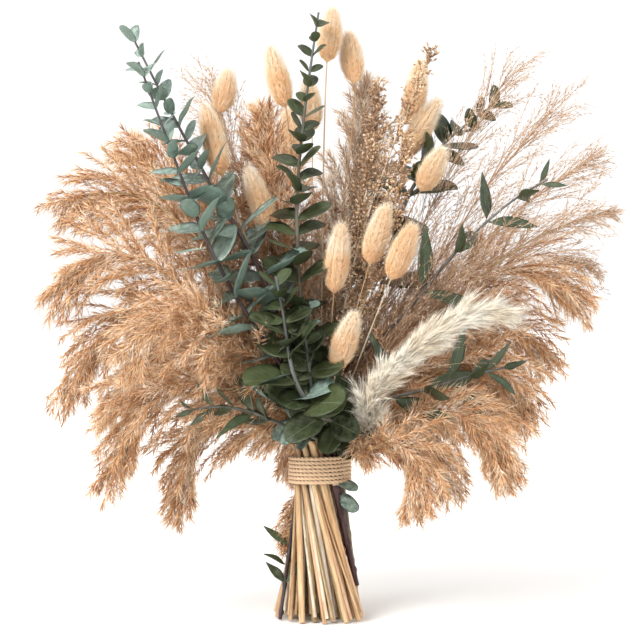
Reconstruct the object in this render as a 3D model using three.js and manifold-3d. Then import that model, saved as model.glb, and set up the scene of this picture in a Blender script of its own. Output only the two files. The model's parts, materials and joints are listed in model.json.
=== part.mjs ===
// A hand-tied bunch of dried pampas grass: tan reed plumes, one long cream plume, bunny tails, airy grass,
// dried flower spikes, round-leaved and narrow-leaved eucalyptus, bound with jute twine. Its stems are laid
// in a spiral, so they fan out below the twine and the bunch stands on their cut ends.
// Millimetres, +Z up, seen from -Y. The origin is on the floor below the middle of the bunch's extent.
import * as THREE from 'three';
import { mergeVertices } from 'three/addons/utils/BufferGeometryUtils.js';
import Module from 'manifold-3d';

const wasm = await Module();
wasm.setup();

// ---- Driving dimensions ----
const TIE_Z = 112;            // middle of the twine above the floor
const BUNCH_R = 20.5;         // all the stems where the twine holds them
const TWINE_D = 2.9;          // thickness of the jute twine
const TWINE_TURNS = 7;
const SPIRAL = 1.65;          // sideways run of a stem from twine to floor, for each mm it lies from the axis
const STEM_GAP = 0.6;         // between neighbouring stems in the twine
const GAP = 0.25;             // least distance between pieces of different plants
const BLADE = 0.7;            // thickness of a leaf
const SEED = 20;
const MIDDLE = [5.5, 33.5];   // middle of the bunch's extent, measured from the axis of the twine

const STEM_R = { reed: 2.5, cream: 3, bunny: 1.1, round: 2.4, narrow: 1.7, airy: 1.1, spike: 1.5 };

// Each plant's path above the twine, from where it leaves the bunch to its tip: [right, back, up].
// Heads of grass start at the first point. footUp lifts a stem that was cut short, slot says where a stem
// lies in the twine, lowLeaves are heights of small leaves under it, and lowTuft is where a tuft hangs from.
const PLANTS = [
  { name: 'cream_plume', kind: 'cream',
    path: [[21, -24, 144], [58, -66, 194], [112, -86, 229], [158, -88, 220]] },

  { name: 'bunny_tail_1', kind: 'bunny', path: [[16, -62, 186], [26, -70, 232]] },
  { name: 'bunny_tail_2', kind: 'bunny', path: [[10, -42, 243], [16, -46, 297]] },
  { name: 'bunny_tail_3', kind: 'bunny', path: [[36, -42, 264], [49, -46, 310]] },
  { name: 'bunny_tail_4', kind: 'bunny', path: [[50, -62, 253], [68, -68, 295]] },
  { name: 'bunny_tail_5', kind: 'bunny', path: [[71, -20, 320], [92, -24, 352]] },
  { name: 'bunny_tail_6', kind: 'bunny', path: [[64, 16, 345], [92, 18, 393]] },
  { name: 'bunny_tail_7', kind: 'bunny', path: [[63, 44, 373], [79, 50, 427]] },
  { name: 'bunny_tail_8', kind: 'bunny', path: [[28, 16, 401], [19, 17, 444]] },
  { name: 'bunny_tail_9', kind: 'bunny', path: [[6, 4, 416], [11, 3, 460]] },
  { name: 'bunny_tail_10', kind: 'bunny', path: [[-27, 16, 383], [-39, 18, 433]] },
  { name: 'bunny_tail_11', kind: 'bunny', path: [[-66, 42, 383], [-71, 46, 416]] },
  { name: 'bunny_tail_12', kind: 'bunny', path: [[-65, 0, 333], [-87, 0, 388]] },
  { name: 'bunny_tail_13', kind: 'bunny', path: [[-43, 4, 286], [-62, 2, 338]] },
  { name: 'bunny_tail_14', kind: 'bunny', path: [[-6, 38, 367], [-9, 42, 409]] },
  { name: 'bunny_tail_15', kind: 'bunny', path: [[-20, 88, 346], [-26, 102, 394]] },
  { name: 'bunny_tail_16', kind: 'bunny', path: [[34, 86, 330], [44, 99, 376]] },

  { name: 'eucalyptus_1', kind: 'round', pairs: 12, leaf: 28, footUp: 24, slot: [9, -19],
    path: [[-22, -26, 200], [-44, -28, 260], [-75, -28, 314], [-108, -26, 374], [-141, -22, 438]] },
  { name: 'eucalyptus_2', kind: 'round', pairs: 12, leaf: 29, footUp: 28, slot: [15, -14],
    path: [[-14, -38, 160], [-38, -46, 202], [-79, -50, 275], [-105, -48, 340], [-132, -42, 412]] },
  { name: 'eucalyptus_3', kind: 'round', pairs: 14, leaf: 25,
    path: [[-4, -26, 166], [-13, -32, 227], [-17, -32, 306], [-12, -28, 372], [-1, -20, 451]] },
  { name: 'eucalyptus_4', kind: 'round', pairs: 6, leaf: 33,
    path: [[-9, -50, 160], [-20, -64, 205], [-32, -66, 256]] },
  { name: 'eucalyptus_5', kind: 'round', pairs: 5, leaf: 27,
    path: [[-3, -34, 154], [-9, -58, 186], [-14, -66, 218]] },
  { name: 'eucalyptus_6', kind: 'round', pairs: 7, leaf: 25,
    path: [[38, 12, 235], [64, 22, 312], [95, 26, 358], [137, 24, 390]] },
  { name: 'eucalyptus_7', kind: 'round', pairs: 6, leaf: 25,
    path: [[-30, 62, 230], [-62, 88, 310], [-88, 96, 385]] },

  { name: 'willow_leaf_1', kind: 'narrow', pairs: 5, leaf: 30, lowLeaves: [26, 40, 54], slot: [-14, 13],
    path: [[60, -24, 226], [100, -30, 274], [139, -32, 310], [167, -32, 327]] },
  { name: 'willow_leaf_2', kind: 'narrow', pairs: 6, leaf: 26,
    path: [[40, -22, 152], [83, -30, 174], [114, -36, 184], [137, -38, 190]] },
  { name: 'willow_leaf_3', kind: 'narrow', pairs: 5, leaf: 24,
    path: [[-26, -38, 147], [-48, -50, 157], [-72, -56, 162], [-95, -58, 159]] },
  { name: 'willow_leaf_4', kind: 'narrow', pairs: 4, leaf: 24,
    path: [[18, 60, 165], [34, 98, 190], [44, 128, 196]] },

  { name: 'flower_spike_1', kind: 'spike', path: [[28, -6, 276], [56, 2, 356], [85, 8, 429]] },
  { name: 'flower_spike_2', kind: 'spike', path: [[26, 6, 290], [38, 8, 350], [44, 14, 400]] },
  { name: 'flower_spike_3', kind: 'spike', path: [[38, -20, 258], [56, -20, 310], [66, -14, 360]] },

  { name: 'reed_left_1', kind: 'reed', path: [[-84, 6, 276], [-142, 10, 318], [-214, 12, 309]] },
  { name: 'reed_left_2', kind: 'reed', path: [[-84, -22, 236], [-150, -28, 272], [-207, -30, 238]] },
  { name: 'reed_left_3', kind: 'reed', path: [[-72, -8, 202], [-142, -12, 228], [-192, -14, 168]] },
  { name: 'reed_left_4', kind: 'reed', path: [[-62, -30, 172], [-122, -42, 172], [-154, -46, 110]] },
  { name: 'reed_left_5', kind: 'reed', path: [[-42, -8, 144], [-88, -8, 142], [-107, -8, 88]] },
  { name: 'reed_left_6', kind: 'reed', path: [[-72, 40, 272], [-106, 50, 318], [-143, 56, 353]] },
  { name: 'reed_left_7', kind: 'reed', path: [[-56, -52, 200], [-106, -82, 226], [-146, -92, 198]] },
  { name: 'reed_left_8', kind: 'reed', path: [[-62, 26, 186], [-120, 40, 204], [-164, 46, 152]] },
  { name: 'reed_top_1', kind: 'reed', path: [[-32, 26, 272], [-40, 30, 330], [-43, 32, 376]] },
  { name: 'reed_top_2', kind: 'reed', path: [[22, 30, 275], [31, 34, 340], [34, 36, 400]] },
  { name: 'reed_right_1', kind: 'reed', path: [[86, 6, 218], [146, 8, 262], [194, 8, 240]] },
  { name: 'reed_right_2', kind: 'reed', path: [[78, 34, 196], [134, 44, 222], [174, 50, 196]] },
  { name: 'reed_right_3', kind: 'reed', path: [[58, 0, 170], [120, -2, 192], [151, -4, 156]] },
  { name: 'reed_right_4', kind: 'reed', path: [[48, -26, 150], [102, -44, 156], [132, -52, 122]] },
  { name: 'reed_right_5', kind: 'reed', lowTuft: 98, path: [[34, 18, 154], [72, 26, 152], [98, 28, 100]] },
  { name: 'reed_right_6', kind: 'reed', path: [[32, -40, 138], [62, -58, 130], [68, -70, 84]] },
  { name: 'reed_right_7', kind: 'reed', path: [[52, 24, 182], [104, 38, 196], [142, 44, 144]] },
  { name: 'reed_back_1', kind: 'reed', path: [[-56, 60, 196], [-96, 100, 216], [-130, 124, 190]] },
  { name: 'reed_back_2', kind: 'reed', path: [[-6, 74, 216], [-8, 118, 250], [-10, 152, 238]] },
  { name: 'reed_back_3', kind: 'reed', path: [[56, 62, 200], [94, 100, 224], [124, 124, 200]] },
  { name: 'reed_back_4', kind: 'reed', path: [[-8, 52, 150], [-18, 98, 152], [-26, 124, 108]] },

  { name: 'airy_grass_1', kind: 'airy', path: [[56, 12, 250], [98, 14, 336], [140, 12, 404]] },
  { name: 'airy_grass_2', kind: 'airy', path: [[72, 6, 240], [124, 2, 322], [174, 2, 380]] },
  { name: 'airy_grass_3', kind: 'airy', path: [[80, -8, 236], [146, -14, 304], [199, -16, 341]] },
  { name: 'airy_grass_4', kind: 'airy', path: [[84, -16, 226], [158, -24, 284], [214, -26, 305]] },
  { name: 'airy_grass_5', kind: 'airy', path: [[88, 22, 218], [160, 26, 272], [208, 26, 262]] },
  { name: 'airy_grass_6', kind: 'airy', path: [[-46, 34, 290], [-66, 40, 345], [-80, 42, 392]] },
];

const COLOURS = {
  reed: 0xc89468, cream: 0xf0e2cc, bunny: 0xeac59a, round: 0x3f5a4c, narrow: 0x35493a,
  airy: 0xc9ab90, spike: 0x8a7263, twine: 0xb98a5c,
};

// ---- Small tools: vectors, chance, and bending three.js shapes into place ----
const vec = ([x, y, z]) => new THREE.Vector3(x, y, z);
const mix = THREE.MathUtils.lerp;
const smooth = THREE.MathUtils.smoothstep;
const UP = new THREE.Vector3(0, 0, 1);

// A repeatable stream of numbers from 0 to 1.
function chance(seed) {
  let state = seed >>> 0;
  return () => {
    state = (state + 0x6d2b79f5) >>> 0;
    let t = Math.imul(state ^ (state >>> 15), 1 | state);
    t = (t + Math.imul(t ^ (t >>> 7), 61 | t)) ^ t;
    return ((t ^ (t >>> 14)) >>> 0) / 4294967296;
  };
}

// A solid from a closed three.js geometry.
function toSolid(geometry) {
  geometry.deleteAttribute('normal');
  geometry.deleteAttribute('uv');
  const merged = mergeVertices(geometry, 1e-3);
  return new wasm.Manifold(new wasm.Mesh({
    numProp: 3,
    vertProperties: merged.getAttribute('position').array,
    triVerts: new Uint32Array(merged.index.array),
  }));
}

// Moves every vertex of a geometry to where rule(vertex) puts it.
function reshape(geometry, rule) {
  const position = geometry.getAttribute('position');
  const v = new THREE.Vector3();
  for (let i = 0; i < position.count; i++) {
    rule(v.fromBufferAttribute(position, i));
    position.setXYZ(i, v.x, v.y, v.z);
  }
  return geometry;
}

// Frames that turn as little as they can along a line of points. The first is level where a foot is cut flat.
function framesAlong(points, levelFoot) {
  const side = new THREE.Vector3(1, 0, 0);
  return points.map((p, i) => {
    const before = points[Math.max(i - 1, 0)];
    const along = points[Math.min(i + 1, points.length - 1)].clone().sub(before).normalize();
    if (levelFoot && i === 0) along.copy(UP);
    if (i === 0 && Math.abs(along.x) > 0.9) side.set(0, 1, 0);
    side.addScaledVector(along, -side.dot(along)).normalize();
    return { at: p, along, side: side.clone(), over: side.clone().cross(along) };
  });
}

// A closed tube through points, with a radius at each; a last radius of 0 makes a point. Where studs are
// given, two vertices in five from ring studs.from on are raised outwards, each by a length of its own, and
// swept on towards the tip.
function tube(points, radii, sides, { levelFoot = false, studs = null } = {}) {
  const frames = framesAlong(points, levelFoot);
  const steps = points.length - 1;
  const geometry = radii[steps] === 0
    ? new THREE.ConeGeometry(1, 1, sides, steps)
    : new THREE.CylinderGeometry(1, 1, 1, sides, steps);
  return toSolid(reshape(geometry, (v) => {
    const ring = Math.round((v.y + 0.5) * steps);
    const turn = Math.atan2(v.x, v.z);
    const spoke = Math.round(turn / (2 * Math.PI) * sides) + sides;
    const f = frames[ring];
    const raised = studs && ring >= studs.from && ring < steps && [0, 2].includes((ring + spoke) % 5);
    const uneven = 0.9 + 0.3 * Math.sin(ring * 2.3 + (spoke % sides) * 4.1 + steps);
    const r = Math.hypot(v.x, v.z) > 1e-6 ? radii[ring] + (raised ? uneven * studs.out(ring) : 0) : 0;
    v.copy(f.at).addScaledVector(f.side, r * Math.sin(turn)).addScaledVector(f.over, r * Math.cos(turn));
    if (raised && r) v.addScaledVector(f.along, uneven * studs.on).addScaledVector(UP, -studs.sag);
  }));
}

// A feathery branchlet: a slim three-sided spike.
function spike(root, dir, length, radius) {
  return tube([root, root.clone().addScaledVector(dir, length)], [radius, 0], 3);
}

// A leaf blade whose root is at the origin of its own frame: x along it, y across it, z out of its top face.
// The outline is a list of [share of length, share of half width] along one edge.
function blade(outline, length, width, droop, cup) {
  const shape = new THREE.Shape();
  const edge = outline.map(([along, across]) => [along * length, across * width / 2]);
  edge.forEach(([x, y], i) => (i ? shape.lineTo(x, y) : shape.moveTo(x, y)));
  [...edge].reverse().filter(([, y]) => y > 0).forEach(([x, y]) => shape.lineTo(x, -y));
  return reshape(new THREE.ExtrudeGeometry(shape, { depth: BLADE, bevelEnabled: false }), (v) => {
    const share = v.x / length;
    v.z += -droop * share * share + cup * Math.abs(v.y) / (width / 2) - BLADE / 2;
  });
}

// Puts a geometry made in its own frame where x runs along dir and z faces as near to facing as it can.
function placed(geometry, at, dir, facing) {
  const side = facing.clone().cross(dir).normalize();
  const basis = new THREE.Matrix4().makeBasis(dir, side, dir.clone().cross(side)).setPosition(at);
  return toSolid(geometry.applyMatrix4(basis));
}

// ---- Stems in the twine: packed side by side, each on the side that its spiral sends it from ----
// A stem that leans towards one side passes the axis a quarter turn round from it, and its foot stands
// opposite. The more it leans, the further out it lies.
function packStems(plants) {
  const discs = plants.map((p) => {
    const [x, y, z] = p.path[0];
    const lean = Math.hypot(x, y) / (z - TIE_Z);
    const r = STEM_R[p.kind];
    const away = (BUNCH_R - r) * Math.min(1, lean / 0.9);
    const turn = Math.atan2(y, x) + Math.PI / 2;
    const [wantX, wantY] = p.slot ?? [away * Math.cos(turn), away * Math.sin(turn)];
    return { x: wantX, y: wantY, r, wantX, wantY };
  });
  for (let round = 0; round < 1500; round++) {
    const pull = round < 900 ? 0.04 : 0;
    const squeeze = round < 1300 ? 0.003 : 0;
    for (const d of discs) {
      d.x += pull * (d.wantX - d.x) - squeeze * d.x;
      d.y += pull * (d.wantY - d.y) - squeeze * d.y;
    }
    for (let i = 0; i < discs.length; i++) {
      for (let j = i + 1; j < discs.length; j++) pushApart(discs[i], discs[j]);
    }
    for (const d of discs) {
      const inside = Math.min(1, (BUNCH_R - d.r) / Math.hypot(d.x, d.y));
      d.x *= inside;
      d.y *= inside;
    }
  }
  return discs;
}

function pushApart(a, b) {
  const apart = Math.hypot(b.x - a.x, b.y - a.y) || 1e-6;
  const push = (a.r + b.r + STEM_GAP - apart) / 2;
  if (push <= 0) return;
  const [ux, uy] = [(b.x - a.x) / apart, (b.y - a.y) / apart];
  a.x -= ux * push;
  a.y -= uy * push;
  b.x += ux * push;
  b.y += uy * push;
}

const slots = packStems(PLANTS);

// Where the stem in a slot is at height z: the spiral turns and widens the bunch, and no stems cross.
function inSpiral(slot, z) {
  const lean = SPIRAL * (z - TIE_Z) / TIE_Z;
  return new THREE.Vector3(slot.x + lean * slot.y, slot.y - lean * slot.x, z);
}

// ---- Paths: straight from foot to twine, then curving out to the tip ----
const TWINE_HALF = TWINE_TURNS * TWINE_D / 2;
const NECK = 3;               // index of the path's first given point in a plant's line
const HEAD_STEPS = { reed: 5, cream: 3, bunny: 1, round: 2, narrow: 2, airy: 2, spike: 6 };

function lineOf(plant, slot) {
  const given = plant.path.map(vec);
  const top = inSpiral(slot, TIE_Z + TWINE_HALF + 3);
  const rise = inSpiral(slot, top.z + THREE.MathUtils.clamp((given[0].z - TIE_Z) * 0.22, 9, 22));
  const curve = new THREE.CatmullRomCurve3([top, rise, ...given], false, 'centripetal');
  const spans = given.length + 1;
  const shares = [0, 1];
  const steps = HEAD_STEPS[plant.kind];
  for (let i = 0; i <= (given.length - 1) * steps; i++) shares.push(2 + i / steps);
  return [inSpiral(slot, plant.footUp ?? 0), ...shares.map((s) => curve.getPoint(s / spans))];
}

// How far a plant keeps the others off at each point of its line, where it is more than a bare stem.
const ROOM = { reed: 15, cream: 16, bunny: 11, round: 6, narrow: 3, airy: 3.5, spike: 5 };

// Shortest way between segments ab and cd: [share along ab, share along cd, vector from one to the other].
function between(a, b, c, d) {
  const [u, v, w] = [b.clone().sub(a), d.clone().sub(c), a.clone().sub(c)];
  const [uu, uv, vv, uw, vw] = [u.dot(u), u.dot(v), v.dot(v), u.dot(w), v.dot(w)];
  const area = uu * vv - uv * uv;
  let s = area > 1e-9 ? THREE.MathUtils.clamp((uv * vw - vv * uw) / area, 0, 1) : 0;
  const t = THREE.MathUtils.clamp((uv * s + vw) / vv, 0, 1);
  s = THREE.MathUtils.clamp((uv * t - uw) / uu, 0, 1);
  return [s, t, c.clone().addScaledVector(v, t).sub(a.clone().addScaledVector(u, s))];
}

// Bends the lines clear of one another above the twine, so that no two plants cross.
function spreadLines(plants) {
  const FIXED = 2;            // foot and top of the twine stay
  for (const p of plants) {
    const inHead = (i) => (p.kind === 'bunny' ? Number(i >= p.neck) : smooth(i, p.neck - 1, p.neck + 1));
    p.room = p.line.map((_, i) => p.stemR + STEM_GAP / 2 + (ROOM[p.kind] - p.stemR) * inHead(i));
  }
  for (let round = 0; round < 120; round++) {
    for (let i = 0; i < plants.length; i++) {
      for (let j = i + 1; j < plants.length; j++) separate(plants[i], plants[j], FIXED);
    }
  }
}

function separate(p, q, fixed) {
  for (let i = fixed - 1; i < p.line.length - 1; i++) {
    for (let j = fixed - 1; j < q.line.length - 1; j++) {
      const [a, b, c, d] = [p.line[i], p.line[i + 1], q.line[j], q.line[j + 1]];
      const wanted = Math.max(p.room[i], p.room[i + 1]) + Math.max(q.room[j], q.room[j + 1]);
      const reach = a.distanceTo(b) + c.distanceTo(d) + wanted;
      if (a.distanceTo(c) > reach) continue;
      const [s, t, way] = between(a, b, c, d);
      const room = mix(p.room[i], p.room[i + 1], s) + mix(q.room[j], q.room[j + 1], t);
      const push = (room - way.length()) * 0.3;
      if (push <= 0) continue;
      if (way.lengthSq() < 1e-9) way.set(0, 1, 0);
      way.y += Math.sign(way.y || 1) * 0.5 * Math.hypot(way.x, way.z);
      way.normalize().multiplyScalar(push * 1.2);
      if (i >= fixed) a.addScaledVector(way, -(1 - s));
      if (i + 1 >= fixed) b.addScaledVector(way, -s);
      if (j >= fixed) c.addScaledVector(way, 1 - t);
      if (j + 1 >= fixed) d.addScaledVector(way, t);
    }
  }
}

// ---- Growing: each small piece is fused to its plant only where it is clear of every other plant ----
const grown = [];             // every piece so far, with its plant and its box

function boxOf(solid) {
  const { min, max } = solid.boundingBox();
  return { min, max };
}

const farApart = (a, b) => [0, 1, 2].some((k) => a.min[k] > b.max[k] + GAP || b.min[k] > a.max[k] + GAP);

function isClear(plant, solid) {
  const box = boxOf(solid);
  return grown.every((g) => g.plant === plant || farApart(box, g.box) || solid.minGap(g.solid, GAP) >= GAP);
}

function grow(plant, solid) {
  grown.push({ plant, solid, box: boxOf(solid) });
}

// Tries make(0), make(1) and so on, each bent or shortened more, and keeps the first that is clear.
function growClear(plant, tries, make) {
  for (let n = 0; n < tries; n++) {
    const solid = make(n);
    if (isClear(plant, solid)) {
      grow(plant, solid);
      return true;
    }
  }
  return false;
}

// A point at share u of the way from a plant's neck to its tip, with the frame there.
function onHead(plant, u) {
  const place = Math.min(u, 0.9999) * (plant.line.length - 1 - plant.neck);
  const i = plant.neck + Math.floor(place);
  const f = plant.frames[i];
  const g = plant.frames[i + 1];
  return {
    at: f.at.clone().lerp(g.at, place % 1),
    along: g.at.clone().sub(f.at).normalize(),
    side: f.side.clone(),
    over: f.over.clone(),
  };
}

// A direction that leaves the stem at an angle, turned round it.
function leaving(spot, turn, angle) {
  const out = spot.side.clone().multiplyScalar(Math.cos(turn)).addScaledVector(spot.over, Math.sin(turn));
  return spot.along.clone().multiplyScalar(Math.cos(angle)).addScaledVector(out, Math.sin(angle)).normalize();
}

const TURN = Math.PI * (3 - Math.sqrt(5));   // golden angle, so that pieces spread evenly round a stem

// The radius of a plant's own stem or core along its line.
function coreRadii(plant, core) {
  const last = plant.line.length - 1;
  return plant.line.map((_, i) => {
    if (i < plant.neck) return mix(plant.stemR, plant.neckR, smooth(i, 1, plant.neck));
    return core((i - plant.neck) / (last - plant.neck));
  });
}

// Tan reed or cream plume: long sagging branchlets that reach out beyond the raised points of its core.
function growPlume(plant, { count, reach, slim, sag, angle }) {
  const next = chance(plant.seed);
  for (let k = 0; k < count; k++) {
    const u = (k + 0.2) / count;
    const spot = onHead(plant, u);
    const long = reach * mix(0.85, 1.1, next()) * mix(1, 0.7, u ** 3);
    const open = angle * mix(1.15, 0.35, u) * mix(0.85, 1.15, next());
    const turn = k * TURN + next() * 0.5;
    growClear(plant, 5, (n) => {
      const dir = leaving(spot, turn + [0, 0.5, -0.5, 1, -1][n], open * (n > 2 ? 0.6 : 1));
      dir.addScaledVector(UP, -sag).normalize();
      return spike(spot.at, dir, long * (n > 2 ? 0.75 : 1), slim);
    });
  }
}

// A tuft that hangs from a stem just under the twine.
function growLowTuft(plant) {
  const next = chance(plant.seed + 50);
  const [foot, top] = plant.line;
  for (let k = 0; k < 8; k++) {
    const z = plant.lowTuft - 4.5 * k;
    const at = foot.clone().lerp(top, z / top.z);
    const out = Math.atan2(at.y, at.x) + mix(-0.7, 0.7, next());
    const long = mix(26, 17, k / 7);
    growClear(plant, 4, (n) => {
      const dir = new THREE.Vector3(Math.cos(out), Math.sin(out), -1.4 - 0.7 * n).normalize();
      return spike(at, dir, long, 1.7);
    });
  }
}

// Bunny tail: an egg-shaped head whose hairs are raised points that sweep towards its tip.
function bunnyHead(plant, radius) {
  const [low, high] = plant.headEnds;
  const long = high.clone().sub(low);
  const frame = framesAlong([low, high], false)[0];
  const rings = 7;
  const sides = 6;
  return toSolid(reshape(new THREE.SphereGeometry(1, sides, rings), (v) => {
    const down = Math.acos(THREE.MathUtils.clamp(v.y, -1, 1)) / Math.PI;
    const ring = Math.round(down * rings);
    const turn = Math.atan2(v.z, v.x);
    const spoke = Math.round(turn / (2 * Math.PI) * sides);
    const raised = (ring + spoke + sides) % 2 === 0 ? 1 : 0;
    const share = 1 - down;
    const fat = Math.sin(Math.PI * Math.min(1, share ** 0.82)) ** 0.7;
    const r = ring === 0 || ring === rings ? 0 : radius * fat * (raised ? 1.12 : 0.84);
    const up = THREE.MathUtils.clamp(share + (raised && r ? 0.06 : 0), 0, 1);
    v.copy(low).addScaledVector(long, up)
      .addScaledVector(frame.side, r * Math.cos(turn)).addScaledVector(frame.over, r * Math.sin(turn));
  }));
}

// Leaves in opposite pairs, each pair a quarter turn round from the last.
const ROUND_LEAF = [[0, 0], [0.28, 0.9], [0.74, 0.92], [1, 0]];
const NARROW_LEAF = [[0, 0], [0.32, 1], [0.7, 0.74], [1, 0]];

function growLeaves(plant, { outline, wide, open, droop, cup, first }) {
  const next = chance(plant.seed);
  for (let k = 0; k < plant.pairs; k++) {
    const u = mix(first, 0.985, (k + 0.3) / (plant.pairs - 0.4));
    const size = plant.leaf * mix(1.12, 0.42, smooth(u, 0.2, 1.05));
    growPair(plant, onHead(plant, Math.min(u, 0.985)), k * Math.PI / 2 + 0.35, size,
      { outline, wide, open: mix(open, open * 0.62, u ** 3), droop, cup }, next);
  }
}

// Small leaves low on a stem, at given heights under the twine.
function growLowLeaves(plant, style) {
  const next = chance(plant.seed + 100);
  const [foot, top] = plant.line;
  for (const z of plant.lowLeaves ?? []) {
    const at = foot.clone().lerp(top, z / top.z);
    const along = top.clone().sub(foot).normalize();
    growPair(plant, { ...plant.frames[0], at, along }, z, 15, style, next);
  }
}

function growPair(plant, spot, turn, size, { outline, wide, open, droop, cup }, next) {
  for (const half of [0, Math.PI]) {
    const lift = mix(-0.32, 0.22, next());
    const twist = mix(-0.3, 0.3, next());
    growClear(plant, 8, (n) => {
      const swing = [0, 0.4, -0.4, 0.8, -0.8, 0.3, -0.3, 0][n];
      const dir = leaving(spot, turn + half + twist + swing, open + lift);
      const long = size * [1, 1, 1, 0.95, 0.95, 0.8, 0.8, 0.65][n];
      const leaf = blade(outline, long, long * wide, long * droop, long * cup);
      return placed(leaf, spot.at.clone().addScaledVector(dir, 0.3), dir, spot.along);
    });
  }
}

// Airy grass: long fine branches that run on beside the stem, each thicker where its spikelets hang.
function growAiry(plant) {
  const next = chance(plant.seed);
  const count = 7;
  for (let k = 0; k < count; k++) {
    const u = mix(0.02, 0.93, k / (count - 1));
    const spot = onHead(plant, u);
    const long = mix(74, 15, u) * mix(0.8, 1.1, next());
    growClear(plant, 6, (n) => {
      const dir = leaving(spot, k * TURN + n * 0.7, mix(0.42, 0.26, u) * (1 - n * 0.1));
      return spike(spot.at, dir, long, 0.9);
    });
  }
}

// Dried flower spike: short side twigs, each with a pointed bud, on a knobbly stem.
function growSpike(plant) {
  const next = chance(plant.seed);
  const count = 7;
  for (let k = 0; k < count; k++) {
    const u = mix(0.02, 0.96, k / (count - 1));
    const spot = onHead(plant, u);
    const long = mix(16, 8, u) * mix(0.8, 1.15, next());
    growClear(plant, 4, (n) => {
      const dir = leaving(spot, k * TURN + n * 0.8, mix(0.75, 0.45, u));
      const end = spot.at.clone().addScaledVector(dir, long);
      return tube([spot.at, spot.at.clone().lerp(end, 0.65), end], [0.6, 1.9, 0], 3);
    });
  }
}

// ---- The plants, each one solid ----
const plants = PLANTS.map((p, i) => {
  const plant = { ...p, seed: SEED + i, stemR: STEM_R[p.kind], neckR: STEM_R[p.kind] * 0.75, neck: NECK };
  plant.line = lineOf(p, slots[i]);
  return plant;
});
spreadLines(plants);

const CORE = {
  reed: (u) => (u >= 1 ? 0.5 : 2 + 2.6 * Math.sin(Math.PI * (0.12 + 0.86 * u)) ** 0.8),
  cream: (u) => (u >= 1 ? 0.8 : 2.6 + 5.4 * Math.sin(Math.PI * (0.1 + 0.84 * u)) ** 0.8),
  bunny: () => 0.9,
  round: (u) => mix(1.9, 0.8, u),
  narrow: (u) => mix(1.35, 0.7, u),
  airy: (u) => mix(0.9, 0.55, u),
  spike: (u) => mix(1.2, 0.6, u),
};
const SIDES = { reed: 5, cream: 5, bunny: 3, round: 4, narrow: 4, airy: 3, spike: 5 };

// How far the raised points of a head stand out, and how far they are swept on towards the tip.
const STUDS = {
  reed: { out: (u) => 15 * Math.sin(Math.PI * (0.03 + 0.87 * u)) ** 0.6, on: 12, sag: 6 },
  cream: { out: (u) => 10 * Math.sin(Math.PI * (0.1 + 0.82 * u)) ** 0.7, on: 12, sag: 1 },
  spike: { out: (u) => mix(5, 2, u), on: 3, sag: 0 },
};

const FULL_HEAD = 120;        // a shorter head has its raised points in proportion

function stemAndCore(plant, share) {
  const rings = plant.line.length - 1 - plant.neck;
  const kind = STUDS[plant.kind];
  const long = plant.line[plant.neck].distanceTo(plant.line.at(-1));
  const scale = share * Math.min(1, long / FULL_HEAD);
  const studs = share && {
    from: plant.neck + 1,
    out: (ring) => scale * kind.out((ring - plant.neck) / rings),
    on: Math.min(scale * kind.on, 0.55 * long / rings),
    sag: scale * kind.sag,
  };
  return tube(plant.line, coreRadii(plant, CORE[plant.kind]), SIDES[plant.kind], { levelFoot: true, studs });
}

// Stems and bare cores first, so that nothing else grows into one. Then the raised points, where there is
// room.
for (const plant of plants) {
  if (plant.kind === 'bunny') {
    plant.headEnds = plant.line.slice(-2).map((p) => p.clone());
    plant.line[plant.line.length - 1].lerpVectors(...plant.headEnds, 0.5);
  }
  plant.frames = framesAlong(plant.line, true);
  grow(plant, stemAndCore(plant, 0));
}
for (const plant of plants.filter((p) => STUDS[p.kind])) {
  for (const share of [1, 0.8, 0.6, 0.4]) {
    const solid = stemAndCore(plant, share);
    if (!isClear(plant, solid)) continue;
    grown.splice(grown.findIndex((g) => g.plant === plant), 1);
    grow(plant, solid);
    break;
  }
}
for (const plant of plants.filter((p) => p.kind === 'bunny')) {
  growClear(plant, 5, (n) => bunnyHead(plant, 9.6 - n));
}

const TWINE_SIDES = 16;
const WIDEST_R = BUNCH_R * Math.hypot(1, SPIRAL * TWINE_HALF / TIE_Z);
const TWINE_IN_R = (WIDEST_R + 0.3) / Math.cos(Math.PI / TWINE_SIDES);

// Jute twine: seven turns side by side, as one ring with a rib for each turn.
function twineRing() {
  const outer = TWINE_IN_R + TWINE_D;
  const valley = TWINE_IN_R + TWINE_D * 0.62;
  const profile = [new THREE.Vector2(TWINE_IN_R, TWINE_HALF), new THREE.Vector2(TWINE_IN_R, -TWINE_HALF)];
  for (let turn = 0; turn < TWINE_TURNS; turn++) {
    const low = -TWINE_HALF + turn * TWINE_D;
    profile.push(new THREE.Vector2(valley, low + 0.02 * TWINE_D));
    profile.push(new THREE.Vector2(outer, low + 0.5 * TWINE_D));
  }
  profile.push(new THREE.Vector2(valley, TWINE_HALF), profile[0].clone());
  const ring = new THREE.LatheGeometry(profile, TWINE_SIDES);
  return toSolid(ring.rotateX(Math.PI / 2).translate(0, 0, TIE_Z));
}
const twine = { name: 'twine', kind: 'twine' };
grow(twine, twineRing());

const GROW = {
  cream: (p) => growPlume(p, { count: 10, reach: 36, slim: 2.6, sag: 0.05, angle: 0.5 }),
  reed: (p) => {
    const sag = p.name.includes('top') ? 0.1 : 0.7;
    growPlume(p, { count: 5, reach: 46, slim: 2.4, sag, angle: 0.7 });
    if (p.lowTuft) growLowTuft(p);
  },
  bunny: () => {},
  round: (p) => {
    growLeaves(p, { outline: ROUND_LEAF, wide: 0.8, open: 1.2, droop: 0.14, cup: 0.06, first: 0.03 });
  },
  narrow: (p) => {
    const style = { outline: NARROW_LEAF, wide: 0.38, open: 0.95, droop: 0.1, cup: 0.03, first: 0.06 };
    growLeaves(p, style);
    growLowLeaves(p, style);
  },
  airy: growAiry,
  spike: growSpike,
};

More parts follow.
